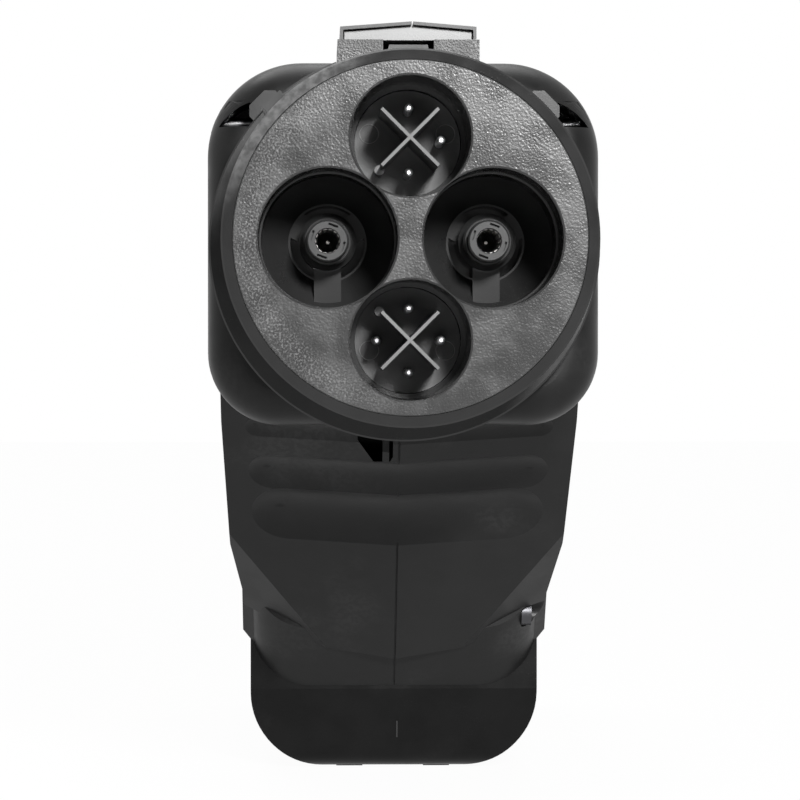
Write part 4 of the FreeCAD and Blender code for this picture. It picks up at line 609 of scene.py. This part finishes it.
# Parting tick: a short upright rib low on the front of the rear housing, left by the mould's split.
# It is moulded with the housing and coloured paler than it.
TICK = {"x": 0.76, "half_width": 0.27, "proud": 0.16, "sunk": 0.4}
TICK_SPINE = ((-105.1, 152.67), (-107.0, 153.338), (-109.0, 154.041))
TICK_SECTION = ((-1.0, -TICK["sunk"]), (-0.5, TICK["proud"]), (0.5, TICK["proud"]), (1.0, -TICK["sunk"]))
tick_shape = bmesh.new()
tick_rows = [[tick_shape.verts.new(((TICK["x"] + across * TICK["half_width"]) * MM, (y - out) * MM, z * MM))
              for across, out in TICK_SECTION] for z, y in TICK_SPINE]
for upper, lower in zip(tick_rows, tick_rows[1:]):
    for k in range(4):
        tick_shape.faces.new((upper[k], upper[(k + 1) % 4], lower[(k + 1) % 4], lower[k]))
tick_shape.faces.new(tick_rows[0])
tick_shape.faces.new(tick_rows[-1][::-1])
tick_plastic = plastic("tick_plastic", colour=0.04, roughness=0.4, gloss=0.3, grain=0.3, depth=0.004)
finish_block("parting_tick", tick_shape, tick_plastic)


# Inlet: the plate in the housing's mouth with its round and its wide recess, five screws and the pins.
# The power pins, the earth pin and the two signal pins are plated and pressed through the back wall.
inlet_plastic = plastic("inlet_plastic", colour=0.03, roughness=0.42, gloss=0.4, grain=0.3, depth=0.006)
finish_nodes(inlet_plastic, "inlet_body")
finish_nodes(steel, "inlet_screws")
finish_nodes(plated, "inlet_power_pins", "inlet_signal_pins", "inlet_earth_pin")
star_along_y = star_tree("star_along_y", (-QUARTER_TURN, 0, 0), steel)
grown("inlet_star_drives", star_along_y, "adapter", inlet_heads, STAR)


# Rear controls: a grey push button, a clear lens over the status lamp and the rubber cover
# of the service port, all set in the top of the inlet plate.
button_plastic = plastic("button_plastic", colour=0.2, roughness=0.4, gloss=0.5, grain=0.3, depth=0.006,
                         dust=0.2)
finish_nodes(button_plastic, "power_button")
lens = bpy.data.materials.new("lens_clear")
lens.use_nodes = True
lens_shader = lens.node_tree.nodes["Principled BSDF"]
lens_shader.inputs["Base Color"].default_value = (0.75, 0.9, 0.82, 1)
lens_shader.inputs["Roughness"].default_value = 0.12
lens_shader.inputs["Transmission Weight"].default_value = 0.85
finish_nodes(lens, "status_lens")
cover_rubber = plastic("cover_rubber", colour=0.05, roughness=0.7, gloss=0.3, grain=0.4, depth=0.01, dust=0.5)
finish_nodes(cover_rubber, "port_cover")


# Lens bezel: a ring of round steel wire frames the status lens.
# It is pressed into the lens's edge, half sunk in the plate.
BEZEL = {"Rim Radius": 2.15 * MM, "Rim Thickness": 0.22 * MM}
BEZEL_PROUD = 0.05
lens_x, _, lens_z = node_box("status_lens")[2]
bezel_spot = (lens_x, node_box("inlet_body")[1][1] + BEZEL_PROUD, lens_z)
grown("lens_bezel", rim_tree("bezel_ring", steel), "adapter", [bezel_spot], BEZEL)


# Cover grips: five short ribs on the cover of the service port, so that a finger can lift it.
# They are moulded with the cover, in the same rubber.
GRIPS = {"Count": 5, "Spacing": 1.2 * MM, "Rib Length": 4.6 * MM, "Rib Width": 0.5 * MM,
         "Rib Height": 0.7 * MM}
GRIPS_PROUD = 0.15
_, cover_high, cover_middle = node_box("port_cover")
grips_spot = (cover_middle[0], cover_high[1] + GRIPS_PROUD, cover_middle[2])


def grip_tree(material):
    """A row of upright ribs along X, centred on each point."""
    tree, entry, result = geometry_tree("cover_grip", GRIPS)
    size = entry.outputs
    rib = add_node(tree, "GeometryNodeMeshCube",
                   Size=upright(tree, size["Rib Width"], size["Rib Height"], size["Rib Length"]))
    reach = product(tree, arithmetic(tree, "SUBTRACT", size["Count"], 1.0), size["Spacing"])
    start = upright(tree, product(tree, reach, -0.5), 0.0, 0.0)
    row = add_node(tree, "GeometryNodeMeshLine", Count=size["Count"], Start_Location=start,
                   Offset=upright(tree, size["Spacing"], 0.0, 0.0))
    ribs = add_node(tree, "GeometryNodeInstanceOnPoints", Points=row.outputs[0], Instance=rib.outputs[0])
    placed = add_node(tree, "GeometryNodeInstanceOnPoints", Points=size["Points"], Instance=ribs.outputs[0])
    finish_tree(tree, placed.outputs[0], material, result)
    return tree


grown("cover_grips", grip_tree(cover_rubber), "adapter", [grips_spot], GRIPS)


# Inside: two copper bars from the plug to the inlet, the control board and its battery cell.
# They lie closed in and show only when the housing is open.
bar_copper = metal("bar_copper", colour=(0.75, 0.42, 0.28), roughness=0.3)
finish_nodes(bar_copper, "busbar_left", "busbar_right")
board_mask = plastic("board_mask", colour=(0.03, 0.14, 0.06), roughness=0.35, gloss=0.5, grain=0.5,
                     depth=0.002, dust=0.0)
finish_nodes(board_mask, "control_board")
cell_wrap = plastic("cell_wrap", colour=(0.05, 0.12, 0.3), roughness=0.25, gloss=0.5, grain=0.5,
                    depth=0.001, dust=0.0)
finish_nodes(cell_wrap, "battery_cell")


# Stage: a plain pale floor and a white surround, which mirrors more dimly from the front, a soft box
# above the plug at the right, a weak one at the left, and a soft sun.
# The camera looks along the plug's axis from the front, a little from its left and above the base.
WHITE = (1, 1, 1, 1)
AMBIENT = 0.03
FRONT_DIMMING = 0.94


def backdrop_rays(tree):
    """Two masks: the rays of the camera, of mirrors and of clear parts together, and those of mirrors."""
    path = tree.nodes.new("ShaderNodeLightPath")
    seen = arithmetic(tree, "ADD", path.outputs["Is Camera Ray"], path.outputs["Is Glossy Ray"])
    seen = arithmetic(tree, "ADD", seen, path.outputs["Is Transmission Ray"], clamp=True)
    return seen, path.outputs["Is Glossy Ray"]


def mixed_shader(tree, share, first, second, output):
    """Joins two shaders by a share and ends the tree with them."""
    mix = tree.nodes.new("ShaderNodeMixShader")
    for source, socket in ((share, 0), (first.outputs[0], 1), (second.outputs[0], 2)):
        tree.links.new(source, mix.inputs[socket])
    tree.links.new(mix.outputs[0], output.inputs[0])


world = bpy.data.worlds.new("surround")
bpy.context.scene.world = world
world.use_nodes = True
world_tree = world.node_tree
world_tree.nodes.clear()
ambient = add_node(world_tree, "ShaderNodeBackground", Color=WHITE, Strength=AMBIENT)
seen, mirrored = backdrop_rays(world_tree)
toward = world_tree.nodes.new("ShaderNodeTexCoord").outputs["Generated"]
heading = add_node(world_tree, "ShaderNodeSeparateXYZ", Vector=toward)
dim_front = ramp(world_tree, heading.outputs["Y"], -0.95, 0.0, FRONT_DIMMING, 0.0)
strength = arithmetic(world_tree, "SUBTRACT", 1.0, product(world_tree, dim_front, mirrored))
backdrop = add_node(world_tree, "ShaderNodeBackground", Color=WHITE, Strength=strength)
mixed_shader(world_tree, seen, ambient, backdrop, world_tree.nodes.new("ShaderNodeOutputWorld"))

FLOOR_HALF = 3.0
FLOOR_WHITE = 0.965
floor_z = cad_low[2]
floor_corners = [(-FLOOR_HALF, -FLOOR_HALF, floor_z), (FLOOR_HALF, -FLOOR_HALF, floor_z),
                 (FLOOR_HALF, FLOOR_HALF, floor_z), (-FLOOR_HALF, FLOOR_HALF, floor_z)]
floor_mesh = bpy.data.meshes.new("floor")
floor_mesh.from_pydata(floor_corners, [], [(0, 1, 2, 3)])
new_object("floor", floor_mesh)
pale = bpy.data.materials.new("floor_pale")
pale.use_nodes = True
pale_tree = pale.node_tree
floor_shader = pale_tree.nodes["Principled BSDF"]
floor_shader.inputs["Base Color"].default_value = (0.9, 0.9, 0.9, 1)
floor_shader.inputs["Roughness"].default_value = 0.9
floor_shader.inputs["Specular IOR Level"].default_value = 0.0
floor_white = add_node(pale_tree, "ShaderNodeEmission", Color=WHITE, Strength=1.0)
floor_share = product(pale_tree, backdrop_rays(pale_tree)[0], FLOOR_WHITE)
mixed_shader(pale_tree, floor_share, floor_shader, floor_white, pale_tree.nodes["Material Output"])
floor_mesh.materials.append(pale)


def turn_to(holder, direction):
    """Turns a lamp or camera to look along a direction."""
    holder.rotation_mode = "QUATERNION"
    holder.rotation_quaternion = Vector(direction).to_track_quat("-Z", "Y")


def soft_box(name, place, aim, size, watts):
    """A square area lamp at place, turned to shine on aim; both in metres."""
    lamp = bpy.data.lights.new(name, "AREA")
    lamp.shape = "RECTANGLE"
    lamp.size, lamp.size_y = size
    lamp.energy = watts
    holder = new_object(name, lamp)
    holder.location = place
    turn_to(holder, Vector(aim) - Vector(place))


PLUG_MIDDLE = (0, 0.03, 0)
soft_box("key_above_right", place=(0.15, -0.74, 0.26), aim=PLUG_MIDDLE, size=(0.12, 0.12), watts=10.5)
soft_box("fill_above_left", place=(-0.3, -0.6, 0.36), aim=PLUG_MIDDLE, size=(0.3, 0.2), watts=0.6)
overhead = bpy.data.lights.new("overhead", "SUN")
overhead.energy = 2.2
overhead.angle = math.radians(50)
turn_to(new_object("overhead", overhead), (0.1, -0.35, -1.0))

CAMERA_PLACE = Vector((-16.5, -640.0, -20.6)) * MM
CAMERA_TARGET = Vector((-2.0, 0.0, -29.8)) * MM
SENSOR = 36.0
FOCAL_SHARE = 3483.5 / 800
camera = new_object("camera", bpy.data.cameras.new("camera"))
camera.location = CAMERA_PLACE
turn_to(camera, CAMERA_TARGET - CAMERA_PLACE)
camera.data.sensor_width = SENSOR
camera.data.lens = FOCAL_SHARE * SENSOR
camera.data.clip_start = 0.01
camera.data.clip_end = 20
bpy.context.scene.camera = camera
bpy.context.scene.view_settings.view_transform = "Standard"
